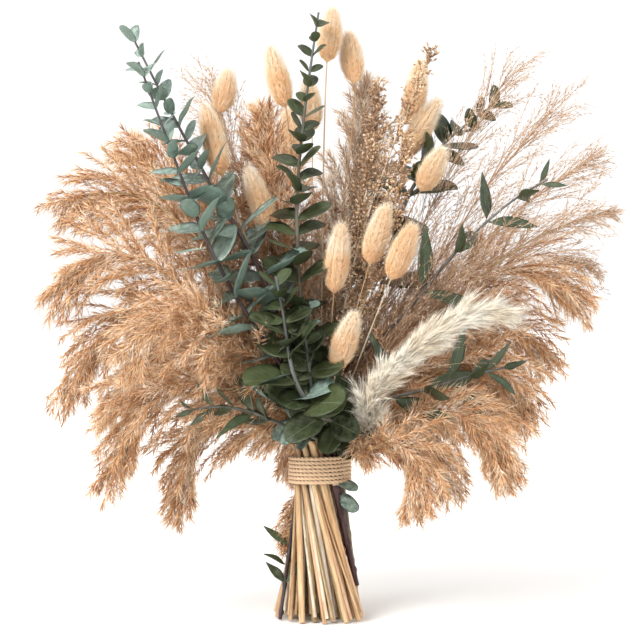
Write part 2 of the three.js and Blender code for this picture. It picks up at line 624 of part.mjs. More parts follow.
// Leaves first, then heads of grass, then what is finest.
for (const kind of ['cream', 'round', 'narrow', 'spike', 'reed', 'airy', 'bunny']) {
  for (const plant of plants.filter((p) => p.kind === kind)) GROW[kind](plant);
}

// One closed body of everything a plant has grown: sealed hollows are filled and loose scraps dropped.
function fused(plant) {
  const whole = wasm.Manifold.union(grown.filter((g) => g.plant === plant).map((g) => g.solid));
  return whole.decompose().sort((a, b) => b.volume() - a.volume())[0];
}

function meshOf(plant) {
  const { numProp, vertProperties, triVerts } = fused(plant).getMesh();
  const geometry = new THREE.BufferGeometry()
    .setAttribute('position', new THREE.BufferAttribute(vertProperties, numProp))
    .setIndex(new THREE.BufferAttribute(triVerts, 1));
  geometry.computeVertexNormals();
  const color = COLOURS[plant.kind];
  const material = new THREE.MeshStandardMaterial({ color, roughness: 0.85, metalness: 0 });
  const mesh = new THREE.Mesh(geometry, material);
  mesh.name = plant.name;
  mesh.position.set(-MIDDLE[0], -MIDDLE[1], 0);
  return mesh;
}

const bunch = new THREE.Group();
for (const plant of [...plants, twine]) bunch.add(meshOf(plant));
export default bunch;
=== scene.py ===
# A hand-tied bunch of dried pampas grass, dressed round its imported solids: tan reed plumes, one long cream
# plume, bunny tails, airy grass, flower spikes and two kinds of eucalyptus, bound with jute twine.
# Metres, +Z up, seen from -Y.
import json
import math

import bpy
import numpy as np
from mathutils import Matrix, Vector

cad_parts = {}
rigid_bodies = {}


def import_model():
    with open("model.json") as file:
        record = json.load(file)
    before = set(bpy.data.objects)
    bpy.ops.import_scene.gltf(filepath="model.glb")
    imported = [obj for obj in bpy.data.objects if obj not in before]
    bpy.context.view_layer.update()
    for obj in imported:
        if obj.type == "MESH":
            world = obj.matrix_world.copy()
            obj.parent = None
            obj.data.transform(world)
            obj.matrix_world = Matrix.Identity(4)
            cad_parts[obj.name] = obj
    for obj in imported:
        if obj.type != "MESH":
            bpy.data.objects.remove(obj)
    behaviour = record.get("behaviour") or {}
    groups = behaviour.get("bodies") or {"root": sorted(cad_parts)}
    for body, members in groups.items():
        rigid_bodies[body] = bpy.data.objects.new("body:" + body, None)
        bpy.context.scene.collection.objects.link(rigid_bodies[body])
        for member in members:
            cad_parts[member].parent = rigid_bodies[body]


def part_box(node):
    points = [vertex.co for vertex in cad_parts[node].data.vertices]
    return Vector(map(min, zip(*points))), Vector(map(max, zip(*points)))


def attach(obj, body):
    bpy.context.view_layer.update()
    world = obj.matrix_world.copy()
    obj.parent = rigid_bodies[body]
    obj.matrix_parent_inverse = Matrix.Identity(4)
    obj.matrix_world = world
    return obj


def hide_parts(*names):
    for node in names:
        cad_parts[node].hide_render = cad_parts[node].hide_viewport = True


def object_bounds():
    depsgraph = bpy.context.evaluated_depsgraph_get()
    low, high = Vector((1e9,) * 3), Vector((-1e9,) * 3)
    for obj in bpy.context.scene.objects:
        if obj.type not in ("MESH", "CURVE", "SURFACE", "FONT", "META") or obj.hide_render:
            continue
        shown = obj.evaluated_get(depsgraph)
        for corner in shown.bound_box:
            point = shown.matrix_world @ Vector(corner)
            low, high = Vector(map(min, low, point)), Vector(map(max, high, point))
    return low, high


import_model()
solid_box = [list(corner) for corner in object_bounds()]

# ---- The floor, the light and the camera ----
# The bunch stands on a pale studio floor under one broad light from the upper left and the white of the
# room. The camera is a long lens a little above the middle of the bunch.
twine_low, twine_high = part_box("twine")
AXIS = np.array([(twine_low.x + twine_high.x) / 2, (twine_low.y + twine_high.y) / 2, 0])
CAMERA_AWAY, CAMERA_HEIGHT, LOOKS_AT, LENS = 1.5, 0.25, 0.2235, 112.5
HALF_FLOOR = 9.0


def linear(colour):
    """A colour as the eye reads it, such as 'c89468', as the linear values that Blender mixes."""
    parts = [int(colour[k:k + 2], 16) / 255 for k in (0, 2, 4)]
    return tuple(p / 12.92 if p <= 0.04045 else ((p + 0.055) / 1.055) ** 2.4 for p in parts) + (1.0,)


def in_scene(thing):
    bpy.context.scene.collection.objects.link(thing)
    return thing


def mesh_of(name, points, edges=(), faces=()):
    mesh = bpy.data.meshes.new(name)
    mesh.from_pydata([tuple(p) for p in points], edges, faces)
    return mesh


def skin_of(material):
    """The sockets of a material's shader."""
    return material.node_tree.nodes["Principled BSDF"].inputs


def new_material(name, roughness):
    material = bpy.data.materials.new(name)
    material.use_nodes = True
    skin_of(material)["Roughness"].default_value = roughness
    return material


floor_corners = [(x * HALF_FLOOR, y * HALF_FLOOR, 0) for x, y in ((-1, -1), (1, -1), (1, 1), (-1, 1))]
floor_mesh = mesh_of("studio_floor", floor_corners, faces=[(0, 1, 2, 3)])
floor = in_scene(bpy.data.objects.new("studio_floor", floor_mesh))
floor_paint = new_material("pale_floor", 0.9)
skin_of(floor_paint)["Base Color"].default_value = linear("f4f3f1")
floor.data.materials.append(floor_paint)

room = bpy.data.worlds.new("white_room")
room.use_nodes = True
room.node_tree.nodes["Background"].inputs["Color"].default_value = (1, 1, 1, 1)
room.node_tree.nodes["Background"].inputs["Strength"].default_value = 1.12
bpy.context.scene.world = room
for name, strength, spread_of_light, turn in (
        ("key_light", 2.85, 30, (52, 0, -38)),
        ("fill_light", 0.5, 80, (60, 0, 55))):
    light = bpy.data.lights.new(name, "SUN")
    light.energy = strength
    light.angle = math.radians(spread_of_light)
    lamp = in_scene(bpy.data.objects.new(name, light))
    lamp.rotation_euler = [math.radians(a) for a in turn]

lens = bpy.data.cameras.new("camera")
lens.lens = LENS
lens.clip_end = 40
camera = in_scene(bpy.data.objects.new("camera", lens))
camera.location = AXIS + (0, -CAMERA_AWAY, CAMERA_HEIGHT)
sight = Vector((0, CAMERA_AWAY, LOOKS_AT - CAMERA_HEIGHT))
camera.rotation_euler = sight.to_track_quat("-Z", "Y").to_euler()
bpy.context.scene.camera = camera
bpy.context.scene.view_settings.view_transform = "Standard"


# ---- How the stems lie ----
# Each plant is one stem with its head. The stems lie in a spiral: packed side by side in the twine, straight
# from there down to their cut ends, and bending out above it to their heads. Lengths in this section are in
# millimetres from the twine's axis, as [right, back, up].
MM = 0.001                    # one millimetre, in the metres of the scene
TIE_Z, BUNCH_R, TWINE_D, TWINE_TURNS = 112, 20.5, 2.9, 7
SPIRAL, STEM_GAP, SEED = 1.65, 0.6, 20
NECK = 3                      # the point of a plant's line where its head begins
STEM_R = {"reed": 2.5, "cream": 3, "bunny": 1.1, "round": 2.4, "narrow": 1.7, "airy": 1.1, "spike": 1.5}
NECK_THINNER = 0.75           # the stem at the head's neck, as a share of its foot
# The points of a line from one point of the head's path to the next, and the room that a head keeps round it.
HEAD_STEPS = {"reed": 5, "cream": 3, "bunny": 1, "round": 2, "narrow": 2, "airy": 2, "spike": 6}
ROOM = {"reed": 15, "cream": 16, "bunny": 11, "round": 6, "narrow": 3, "airy": 3.5, "spike": 5}

# The kinds of plants, each with the paths of its heads from neck to tip.
PLANTS = {}
for label, kind, paths in (
        ("cream_plume", "cream", [
            [(21, -24, 144), (58, -66, 194), (112, -86, 229), (158, -88, 220)]]),
        ("bunny_tail", "bunny", [
            [(16, -62, 186), (26, -70, 232)], [(10, -42, 243), (16, -46, 297)],
            [(36, -42, 264), (49, -46, 310)], [(50, -62, 253), (68, -68, 295)],
            [(71, -20, 320), (92, -24, 352)], [(64, 16, 345), (92, 18, 393)],
            [(63, 44, 373), (79, 50, 427)], [(28, 16, 401), (19, 17, 444)], [(6, 4, 416), (11, 3, 460)],
            [(-27, 16, 383), (-39, 18, 433)], [(-66, 42, 383), (-71, 46, 416)],
            [(-65, 0, 333), (-87, 0, 388)], [(-43, 4, 286), (-62, 2, 338)], [(-6, 38, 367), (-9, 42, 409)],
            [(-20, 88, 346), (-26, 102, 394)], [(34, 86, 330), (44, 99, 376)]]),
        ("eucalyptus", "round", [
            [(-22, -26, 200), (-44, -28, 260), (-75, -28, 314), (-108, -26, 374), (-141, -22, 438)],
            [(-14, -38, 160), (-38, -46, 202), (-79, -50, 275), (-105, -48, 340), (-132, -42, 412)],
            [(-4, -26, 166), (-13, -32, 227), (-17, -32, 306), (-12, -28, 372), (-1, -20, 451)],
            [(-9, -50, 160), (-20, -64, 205), (-32, -66, 256)],
            [(-3, -34, 154), (-9, -58, 186), (-14, -66, 218)],
            [(38, 12, 235), (64, 22, 312), (95, 26, 358), (137, 24, 390)],
            [(-30, 62, 230), (-62, 88, 310), (-88, 96, 385)]]),
        ("willow_leaf", "narrow", [
            [(60, -24, 226), (100, -30, 274), (139, -32, 310), (167, -32, 327)],
            [(40, -22, 152), (83, -30, 174), (114, -36, 184), (137, -38, 190)],
            [(-26, -38, 147), (-48, -50, 157), (-72, -56, 162), (-95, -58, 159)],
            [(18, 60, 165), (34, 98, 190), (44, 128, 196)]]),
        ("flower_spike", "spike", [
            [(28, -6, 276), (56, 2, 356), (85, 8, 429)], [(26, 6, 290), (38, 8, 350), (44, 14, 400)],
            [(38, -20, 258), (56, -20, 310), (66, -14, 360)]]),
        ("reed_left", "reed", [
            [(-84, 6, 276), (-142, 10, 318), (-214, 12, 309)],
            [(-84, -22, 236), (-150, -28, 272), (-207, -30, 238)],
            [(-72, -8, 202), (-142, -12, 228), (-192, -14, 168)],
            [(-62, -30, 172), (-122, -42, 172), (-154, -46, 110)],
            [(-42, -8, 144), (-88, -8, 142), (-107, -8, 88)],
            [(-72, 40, 272), (-106, 50, 318), (-143, 56, 353)],
            [(-56, -52, 200), (-106, -82, 226), (-146, -92, 198)],
            [(-62, 26, 186), (-120, 40, 204), (-164, 46, 152)]]),
        ("reed_top", "reed", [
            [(-32, 26, 272), (-40, 30, 330), (-43, 32, 376)], [(22, 30, 275), (31, 34, 340), (34, 36, 400)]]),
        ("reed_right", "reed", [
            [(86, 6, 218), (146, 8, 262), (194, 8, 240)], [(78, 34, 196), (134, 44, 222), (174, 50, 196)],
            [(58, 0, 170), (120, -2, 192), (151, -4, 156)],
            [(48, -26, 150), (102, -44, 156), (132, -52, 122)],
            [(34, 18, 154), (72, 26, 152), (98, 28, 100)], [(32, -40, 138), (62, -58, 130), (68, -70, 84)],
            [(52, 24, 182), (104, 38, 196), (142, 44, 144)]]),
        ("reed_back", "reed", [
            [(-56, 60, 196), (-96, 100, 216), (-130, 124, 190)],
            [(-6, 74, 216), (-8, 118, 250), (-10, 152, 238)],
            [(56, 62, 200), (94, 100, 224), (124, 124, 200)],
            [(-8, 52, 150), (-18, 98, 152), (-26, 124, 108)]]),
        ("airy_grass", "airy", [
            [(56, 12, 250), (98, 14, 336), (140, 12, 404)], [(72, 6, 240), (124, 2, 322), (174, 2, 380)],
            [(80, -8, 236), (146, -14, 304), (199, -16, 341)],
            [(84, -16, 226), (158, -24, 284), (214, -26, 305)],
            [(88, 22, 218), (160, 26, 272), (208, 26, 262)],
            [(-46, 34, 290), (-66, 40, 345), (-80, 42, 392)]])):
    for number, path in enumerate(paths, 1):
        PLANTS[f"{label}_{number}" if len(paths) > 1 else label] = dict(kind=kind, path=path)

# What some have of their own. All: foot is the height of the cut end, slot the place in the twine. Leafy
# stems: pairs of leaves on the head and more under it, leaf for their length and fuller for its factor, and
# low_leaves for the heights of pairs under the twine, turned by low_turn or else by their height. Plumes:
# habit for what differs from their kind, tuft for the height of a low tuft.
for name, own in {
        "eucalyptus_1": dict(more=4, pairs=12, leaf=28, fuller=0.00134, foot=24, slot=(9, -19)),
        "eucalyptus_2": dict(more=3, pairs=12, leaf=29, fuller=0.00134, foot=28, slot=(15, -14),
            low_leaves=(98, 86), low_turn=0.7),
        "eucalyptus_3": dict(more=4, pairs=14, leaf=25),
        "eucalyptus_4": dict(more=5, pairs=6, leaf=33),
        "eucalyptus_5": dict(more=5, pairs=5, leaf=27),
        "eucalyptus_6": dict(pairs=7, leaf=33),
        "eucalyptus_7": dict(pairs=6, leaf=25),
        "willow_leaf_1": dict(pairs=5, leaf=30, low_leaves=(26, 40, 54), slot=(-14, 13)),
        "willow_leaf_2": dict(pairs=6, leaf=32),
        "willow_leaf_3": dict(pairs=5, leaf=24),
        "willow_leaf_4": dict(pairs=4, leaf=24),
        "reed_right_1": dict(habit=dict(first=-0.9)),
        "reed_right_2": dict(habit=dict(first=-0.9)),
        "reed_right_4": dict(habit=dict(first=-0.1, shape=([-0.1, 0.3, 0.6, 1], [0.15, 0.45, 0.9, 0.4]))),
        "reed_right_5": dict(tuft=98),
        "reed_right_6": dict(habit=dict(first=-0.4, last=0.82,
            shape=([-0.4, 0.2, 0.5, 0.82], [0.16, 0.4, 0.9, 0.4]))),
        "reed_back_3": dict(habit=dict(first=-0.9)),
        }.items():
    PLANTS[name].update(own)

CLEAR_OF_TWINE = 3                               # the stems are straight up to this far over the last turn
TOP_OF_TWINE = TIE_Z + TWINE_TURNS * TWINE_D / 2 + CLEAR_OF_TWINE
LEAST_RISE, MOST_RISE, RISE = 9, 22, 0.22        # and keep their way a little longer under a high head
OUTERMOST_LEAN = 0.9                             # a plant that leans out this much lies at the twine
ROUNDS, PULL, LAST_PULL, SQUEEZE, LAST_SQUEEZE = 1500, 0.04, 900, 0.003, 1300           # of the packing
ROUNDS_APART, LOOK_EVERY = 120, 12               # of parting the heads


def packed_in_twine(plants):
    """Where each stem lies in the twine: pulled to its own place, and pushed off its neighbours."""
    wanted, radii = [], [STEM_R[p["kind"]] for p in plants]
    for plant, r in zip(plants, radii):
        x, y, z = plant["path"][0]
        away = (BUNCH_R - r) * min(1, math.hypot(x, y) / (z - TIE_Z) / OUTERMOST_LEAN)
        turn = math.atan2(y, x) + math.pi / 2
        wanted.append(plant.get("slot", (away * math.cos(turn), away * math.sin(turn))))
    x, y = ([w[k] for w in wanted] for k in (0, 1))
    count = len(plants)
    pairs = [(i, j, radii[i] + radii[j] + STEM_GAP) for i in range(count) for j in range(i + 1, count)]
    for turn in range(ROUNDS):
        pull = PULL if turn < LAST_PULL else 0
        squeeze = SQUEEZE if turn < LAST_SQUEEZE else 0
        for i in range(count):
            x[i] += pull * (wanted[i][0] - x[i]) - squeeze * x[i]
            y[i] += pull * (wanted[i][1] - y[i]) - squeeze * y[i]
        for i, j, room_for_both in pairs:
            dx, dy = x[j] - x[i], y[j] - y[i]
            if abs(dx) >= room_for_both or abs(dy) >= room_for_both:
                continue
            apart = math.hypot(dx, dy) or 1e-6
            if apart < room_for_both:
                push = (room_for_both - apart) / 2 / apart
                x[i] -= dx * push
                y[i] -= dy * push
                x[j] += dx * push
                y[j] += dy * push
        for i in range(count):
            inside = min(1, (BUNCH_R - radii[i]) / math.hypot(x[i], y[i]))
            x[i] *= inside
            y[i] *= inside
    return list(zip(x, y))


def in_spiral(slot, z):
    lean = SPIRAL * (z - TIE_Z) / TIE_Z
    return np.array([slot[0] + lean * slot[1], slot[1] - lean * slot[0], z])


def on_curve(points, place):
    """A point of the smooth curve through points: place 2.5 is half way from points[2] to points[3]."""
    i = min(int(place), len(points) - 2)
    w = place - i
    b, c = points[i], points[i + 1]
    a = points[i - 1] if i > 0 else 2 * b - c
    d = points[i + 2] if i + 2 < len(points) else 2 * c - b
    ab, bc, cd = (np.linalg.norm(q - p) ** 0.5 for p, q in ((a, b), (b, c), (c, d)))
    leave = ((b - a) / ab - (c - a) / (ab + bc) + (c - b) / bc) * bc
    reach = ((c - b) / bc - (d - b) / (bc + cd) + (d - c) / cd) * bc
    return b + leave * w + (3 * (c - b) - 2 * leave - reach) * w ** 2 + (2 * (b - c) + leave + reach) * w ** 3


def line_of(plant, slot):
    """Foot, top of the twine, and on to the tip."""
    given = [np.array(point, float) for point in plant["path"]]
    rise = TOP_OF_TWINE + min(MOST_RISE, max(LEAST_RISE, (given[0][2] - TIE_Z) * RISE))
    knots = [in_spiral(slot, TOP_OF_TWINE), in_spiral(slot, rise), *given]
    steps = HEAD_STEPS[plant["kind"]]
    places = [0, 1] + [2 + k / steps for k in range((len(given) - 1) * steps + 1)]
    return [in_spiral(slot, plant.get("foot", 0)).tolist()] + [on_curve(knots, p).tolist() for p in places]


def smooth(x, low, high):
    share = np.clip((x - low) / (high - low), 0, 1)
    return share * share * (3 - 2 * share)


def room_along(plant, line):
    """How far a plant keeps the others off at each point of its line."""
    bare = STEM_R[plant["kind"]]
    place = np.arange(len(line))
    full = place >= NECK if plant["kind"] == "bunny" else smooth(place, NECK - 1, NECK + 1)
    return (bare + STEM_GAP / 2 + (ROOM[plant["kind"]] - bare) * full).tolist()


def close_stretches(lines, rooms, slack=5):
    """The pairs of straight stretches above the twine that lie near enough to be parted."""
    rows = [(k, i) for k, line in enumerate(lines) for i in range(1, len(line) - 1)]
    owner, place = np.array(rows).T
    a, b = (np.array([lines[k][i + step] for k, i in rows]) for step in (0, 1))
    wide_a, wide_b = (np.array([rooms[k][i + step] for k, i in rows]) for step in (0, 1))
    u, w = b - a, a[:, None] - a[None]
    uu, uv = (u ** 2).sum(1), u @ u.T
    uw, vw = (u[:, None] * w).sum(-1), (u[None] * w).sum(-1)
    area = uu[:, None] * uu - uv ** 2
    s = np.where(area > 1e-9, np.clip((uv * vw - uu * uw) / np.where(area > 1e-9, area, 1), 0, 1), 0)
    t = np.clip((uv * s + vw) / uu, 0, 1)
    s = np.clip((uv * t - uw) / uu[:, None], 0, 1)
    apart = np.linalg.norm(u[None] * t[..., None] - w - u[:, None] * s[..., None], axis=-1)
    both = wide_a[:, None] + (wide_b - wide_a)[:, None] * s + wide_a + (wide_b - wide_a) * t
    p, q = np.nonzero((owner[:, None] < owner) & (both + slack > apart))
    order = np.lexsort((place[q], place[p], owner[q], owner[p]))
    return [(int(owner[i]), int(owner[j]), int(place[i]), int(place[j])) for i, j in zip(p[order], q[order])]


def part_stretches(lines, rooms, p, q, i, j, fixed=2, ease=0.3, to_the_back=0.5, over=1.2):
    """Pushes two stretches apart where they are too near, mostly to the front and the back."""
    a, b, c, d = lines[p][i], lines[p][i + 1], lines[q][j], lines[q][j + 1]
    ux, uy, uz = b[0] - a[0], b[1] - a[1], b[2] - a[2]
    vx, vy, vz = d[0] - c[0], d[1] - c[1], d[2] - c[2]
    wx, wy, wz = a[0] - c[0], a[1] - c[1], a[2] - c[2]
    uu, vv = ux * ux + uy * uy + uz * uz, vx * vx + vy * vy + vz * vz
    uv, uw, vw = ux * vx + uy * vy + uz * vz, ux * wx + uy * wy + uz * wz, vx * wx + vy * wy + vz * wz
    area = uu * vv - uv * uv
    s = min(1, max(0, (uv * vw - vv * uw) / area)) if area > 1e-9 else 0
    t = min(1, max(0, (uv * s + vw) / vv))
    s = min(1, max(0, (uv * t - uw) / uu))
    x, y, z = vx * t - wx - ux * s, vy * t - wy - uy * s, vz * t - wz - uz * s
    both = rooms[p][i] * (1 - s) + rooms[p][i + 1] * s + rooms[q][j] * (1 - t) + rooms[q][j + 1] * t
    push = (both - math.sqrt(x * x + y * y + z * z)) * ease
    if push <= 0:
        return
    y += math.copysign(to_the_back, y or 1) * math.hypot(x, z)
    push *= over / math.sqrt(x * x + y * y + z * z)
    for point, share, free in ((a, s - 1, i >= fixed), (b, -s, True), (c, 1 - t, j >= fixed), (d, t, True)):
        for k, way in enumerate((x, y, z)):
            point[k] += way * push * share * free


everyone = list(PLANTS.values())
lines = [line_of(plant, slot) for plant, slot in zip(everyone, packed_in_twine(everyone))]
rooms = [room_along(plant, line) for plant, line in zip(everyone, lines)]
for turn in range(ROUNDS_APART):
    if turn % LOOK_EVERY == 0:
        close = close_stretches(lines, rooms)
    for pair in close:
        part_stretches(lines, rooms, *pair)


def frames_along(points):
    """Directions along a line, to one side and over, that turn as little as they can from point to point."""
    last = len(points) - 1
    along = np.array([points[min(i + 1, last)] - points[max(i - 1, 0)] for i in range(last + 1)])
    along[0] = (0, 0, 1)
    along /= np.linalg.norm(along, axis=1)[:, None]
    side = [np.array([1.0, 0, 0])]
    for way in along:
        turned = side[-1] - way * (side[-1] @ way)
        side.append(turned / np.linalg.norm(turned))
    side = np.array(side[1:])
    return along, side, np.cross(side, along)


for number, (plant, line) in enumerate(zip(everyone, lines)):
    plant["seed"] = SEED + number
    plant["line"] = np.array(line) * MM + AXIS
    plant["frames"] = frames_along(plant["line"])


def head_spots(plant, shares):
    """Places along a head, 0 at its neck and 1 at its tip, with the directions along, to one side and over.
    Shares below 0 are on the bare stem, as far as -1 just above the twine."""
    last = len(plant["line"]) - 1
    places = NECK + np.where(shares < 0, shares, np.minimum(shares, 0.9999) * (last - NECK))
    at = np.array([on_curve(plant["line"], p) for p in places])
    ring = places.astype(int)
    along = plant["line"][ring + 1] - plant["line"][ring]
    along /= np.linalg.norm(along, axis=1)[:, None]
    return at, along, plant["frames"][1][ring], plant["frames"][2][ring]


LOW_POINTS = 61               # points of a stem from its foot to the top of the twine


def stem_points(plant):
    """The whole stem, straight as far as the top of the twine and smooth from there."""
    line = plant["line"]
    low = [line[0] + (line[1] - line[0]) * share for share in np.linspace(0.006, 1, LOW_POINTS)]
    high = [on_curve(line, p) for p in np.arange(1.125, NECK + 1e-6, 0.125)]
    return np.array(low + high), len(low) + len(high)


# ---- Reed plumes ----
# The tan plumes are reed heads: a thin stalk whose side twigs hang to one side, and on every twig hundreds of
# slim spikelets with finer hairs between them. Each plume is one grown piece with its straw stem.
GOLDEN = math.pi * (3 - math.sqrt(5))
UV = "OFBake"                 # each small piece lies in the map by its tint across and its own length up
STRAND_SHARE = 0.46           # strands, fur and leaves have the left of the map, stems the right
STEM_FROM, STEM_SHARE, STEM_TILES = 0.52, 0.46, 8       # the stems of one piece lie there side by side
HEAD_POINTS, HEAD_FROM = 14, 0.04       # points of a stalk inside its head, and the first one's place
OWN_TINT, CLUMPS = 0.94, 75.0           # a strand's tint is mostly its own, and like that of its neighbours
INSIDE, OVER_FLOOR, UNEVEN = 0.008, 0.02, 0.018         # how far twigs stay inside the size of the bunch
SHORTEST = 0.15               # and the least share of its length that a twig keeps for that
JOINT_LONG = 0.0022           # how long a thicker joint of a stem is


class Value:
    """What comes out of a node. A sum made with it adds the node for that sum to its tree."""

    def __init__(self, tree, socket):
        self.tree, self.socket = tree, socket

    def math(self, operation, *others):
        kind = "ShaderNodeVectorMath" if self.socket.type == "VECTOR" else "ShaderNodeMath"
        return wire(self.tree, kind, enumerate((self, *others)), operation=operation)[0]

    def __add__(self, other):
        return self.math("ADD", other)

    def __sub__(self, other):
        return self.math("SUBTRACT", other)

    def __truediv__(self, other):
        return self.math("DIVIDE", other)

    def __mul__(self, other):
        if self.socket.type != "VECTOR":
            return self.math("MULTIPLY", other)
        return wire(self.tree, "ShaderNodeVectorMath", {"Vector": self, "Scale": other}, operation="SCALE")[0]


def wire(tree, kind, values=(), **settings):
    """Adds a node, sets it and joins its inputs. Returns its outputs that are in use."""
    made = tree.nodes.new(kind)
    for name, value in settings.items():
        setattr(made, name, value)
    for name, value in dict(values).items():
        socket = made.inputs[name] if isinstance(name, int) else next(
            s for s in made.inputs if s.name == name and s.enabled)
        if isinstance(value, Value):
            tree.links.new(value.socket, socket)
        else:
            socket.default_value = value
    return [Value(tree, s) for s in made.outputs if s.enabled]


def with_inputs(tree, inputs):
    """Gives a tree its named inputs. Returns the tree and its given values."""
    for label, kind in inputs.items():
        tree.interface.new_socket(label, in_out="INPUT", socket_type="NodeSocket" + kind)
    return tree, {s.name: Value(tree, s) for s in tree.nodes.new("NodeGroupInput").outputs}


def new_tree(name, inputs):
    """An empty tree of geometry nodes with named inputs."""
    tree = bpy.data.node_groups.new(name, "GeometryNodeTree")
    tree.interface.new_socket("Geometry", in_out="OUTPUT", socket_type="NodeSocketGeometry")
    return with_inputs(tree, {"Geometry": "Geometry", **inputs})


def xyz(tree, x=0.0, y=0.0, z=0.0):
    return wire(tree, "ShaderNodeCombineXYZ", {"X": x, "Y": y, "Z": z})[0]


def split(vector):
    return wire(vector.tree, "ShaderNodeSeparateXYZ", {"Vector": vector})


def named(tree, name, kind="FLOAT"):
    return wire(tree, "GeometryNodeInputNamedAttribute", {"Name": name}, data_type=kind)[0]


def stored(geometry, name, value, kind="FLOAT", domain="POINT"):
    values = {"Geometry": geometry, "Name": name, "Value": value}
    return wire(geometry.tree, "GeometryNodeStoreNamedAttribute", values, data_type=kind, domain=domain)[0]


def compared(value, operation, limit):
    return wire(value.tree, "FunctionNodeCompare", {"A": value, "B": limit}, data_type="FLOAT",
        operation=operation)[0]


def random_number(seed, low, high, kind="FLOAT"):
    values = {"Min": low, "Max": high, "Seed": seed}
    return wire(seed.tree, "FunctionNodeRandomValue", values, data_type=kind)[0]


def any_way(seed, most):
    return random_number(seed, (-most,) * 3, (most,) * 3, "FLOAT_VECTOR")


def mapped(geometry, across, up):
    """Lays a geometry's corners in the map."""
    return stored(geometry, UV, xyz(geometry.tree, across, up), "FLOAT2", "CORNER")


def coated(geometry, material):
    return wire(geometry.tree, "GeometryNodeSetMaterial", {"Geometry": geometry, "Material": material})[0]


def tube(line, sides, material, first, width):
    """A tube along lines, as thick as their attribute thick says, laid in the map from first over width."""
    tree = line.tree
    run = wire(tree, "GeometryNodeSplineParameter")[0]
    line = stored(line, "run", run)
    ring = wire(tree, "GeometryNodeCurvePrimitiveCircle", {"Resolution": sides, "Radius": 1.0})[0]
    ring = stored(ring, "round", run)
    skin = wire(tree, "GeometryNodeCurveToMesh", {
        "Curve": line, "Profile Curve": ring, "Scale": named(tree, "thick"), "Fill Caps": True})[0]
    return coated(mapped(skin, named(tree, "round") * width + first, named(tree, "run")), material)


def standing_on(points, shape, turn, size, tint):
    """A small shape on each point, with a tint each. Also returns across and up in the shape's own map."""
    tree = points.tree
    shape = wire(tree, "GeometryNodeObjectInfo", {"Object": shape})[-1]
    grown = wire(tree, "GeometryNodeInstanceOnPoints", {
        "Points": points, "Instance": shape, "Rotation": turn, "Scale": size})[0]
    grown = stored(grown, "tint", tint, domain="INSTANCE")
    grown = wire(tree, "GeometryNodeRealizeInstances", {"Geometry": grown})[0]
    return grown, *split(named(tree, UV, "FLOAT_VECTOR"))[:2]


def aimed_strands(points, aim, size, given, kind, seed, shift=0.0):
    """A strand on each point along its aim, every one with a tint of its own, paler with shift."""
    tree = points.tree
    turn = wire(tree, "FunctionNodeAlignRotationToVector", {"Vector": aim}, axis="Z")[0]
    spin = xyz(tree, z=random_number(seed + 1, 0.0, math.tau))
    turn = wire(tree, "FunctionNodeRotateRotation", {"Rotation": turn, "Rotate By": spin},
        rotation_space="LOCAL")[0]
    place = wire(tree, "GeometryNodeInputPosition")[0]
    clumps = wire(tree, "ShaderNodeTexNoise", {"Vector": place, "Scale": CLUMPS, "Detail": 1.0})[0]
    tint = clumps * 1.7 + random_number(seed + 2, -0.62, -0.08) + shift
    tint = wire(tree, "ShaderNodeMath", {0: tint, 1: 1.0}, operation="MULTIPLY", use_clamp=True)[0]
    grown, across, up = standing_on(points, given[kind], turn, size, tint)
    across = named(tree, "tint") * OWN_TINT + across * (1 - OWN_TINT)
    grown = mapped(grown, across * STRAND_SHARE, up)
    return coated(grown, given[kind + " material"])


def twig_strands(twigs, given, kind, seed):
    """Strands that leave the twigs all round, swept towards their tips and drawn down by their weight."""
    tree = twigs.tree
    points, along = wire(tree, "GeometryNodeCurveToPoints", {
        "Curve": twigs, "Length": given[kind + " spacing"]}, mode="LENGTH")[:2]
    is_bare = compared(named(tree, "lush"), "LESS_THAN", 0.05)
    points = wire(tree, "GeometryNodeDeleteGeometry", {"Geometry": points, "Selection": is_bare})[0]
    out = along.math("CROSS_PRODUCT", any_way(seed, 1)).math("NORMALIZE")
    aim = along + out * (given[kind + " opening"] * random_number(seed + 3, 0.35, 1.3))
    aim = aim + xyz(tree, z=given[kind + " sag"] * -1.0)
    lush = named(tree, "lush") * random_number(seed + 4, 0.65, 1.25)
    wide = given[kind + " width"] * lush.math("POWER", 0.5)
    size = xyz(tree, wide, wide, given[kind + " length"] * lush)
    return aimed_strands(points, aim, size, given, kind, seed)


def finished(*parts):
    """Joins the parts of a tree's geometry and puts them out."""
    tree = parts[0].tree
    whole = tree.nodes.new("GeometryNodeJoinGeometry")
    for part in parts:
        tree.links.new(part.socket, whole.inputs[0])
    even = wire(tree, "GeometryNodeSetShadeSmooth", {"Geometry": Value(tree, whole.outputs[0])})[0]
    tree.links.new(even.socket, tree.nodes.new("NodeGroupOutput").inputs[0])
    return tree


def stem_and_rest(given):
    """Parts the stems, whose stalk is 1 and more for their place in the map, from the twigs."""
    whole = given["Geometry"]
    stalk = named(whole.tree, "stalk")
    stem, rest = wire(whole.tree, "GeometryNodeSeparateGeometry", {
        "Geometry": whole, "Selection": compared(stalk, "GREATER_THAN", 0.5)})
    line = wire(whole.tree, "GeometryNodeMeshToCurve", {"Mesh": stem})[0]
    first = (stalk - 0.95) * (STEM_SHARE / STEM_TILES) + STEM_FROM
    return tube(line, given["Stem sides"], given["Stem material"], first, 0.9 * STEM_SHARE / STEM_TILES), rest


STEM_INPUTS = {"Stem sides": "Int", "Stem material": "Material"}
MEASURES = ("spacing", "length", "width", "opening", "sag")


def strand_inputs(kind):
    return strands_of(kind, "Object", "Material", *["Float"] * len(MEASURES))


def strands_of(kind, shape, material, *measures):
    """What a tree is given for one kind of strand, with its measures in the order of MEASURES."""
    return {kind: shape, kind + " material": material,
        **{f"{kind} {label}": measure for label, measure in zip(MEASURES, measures)}}


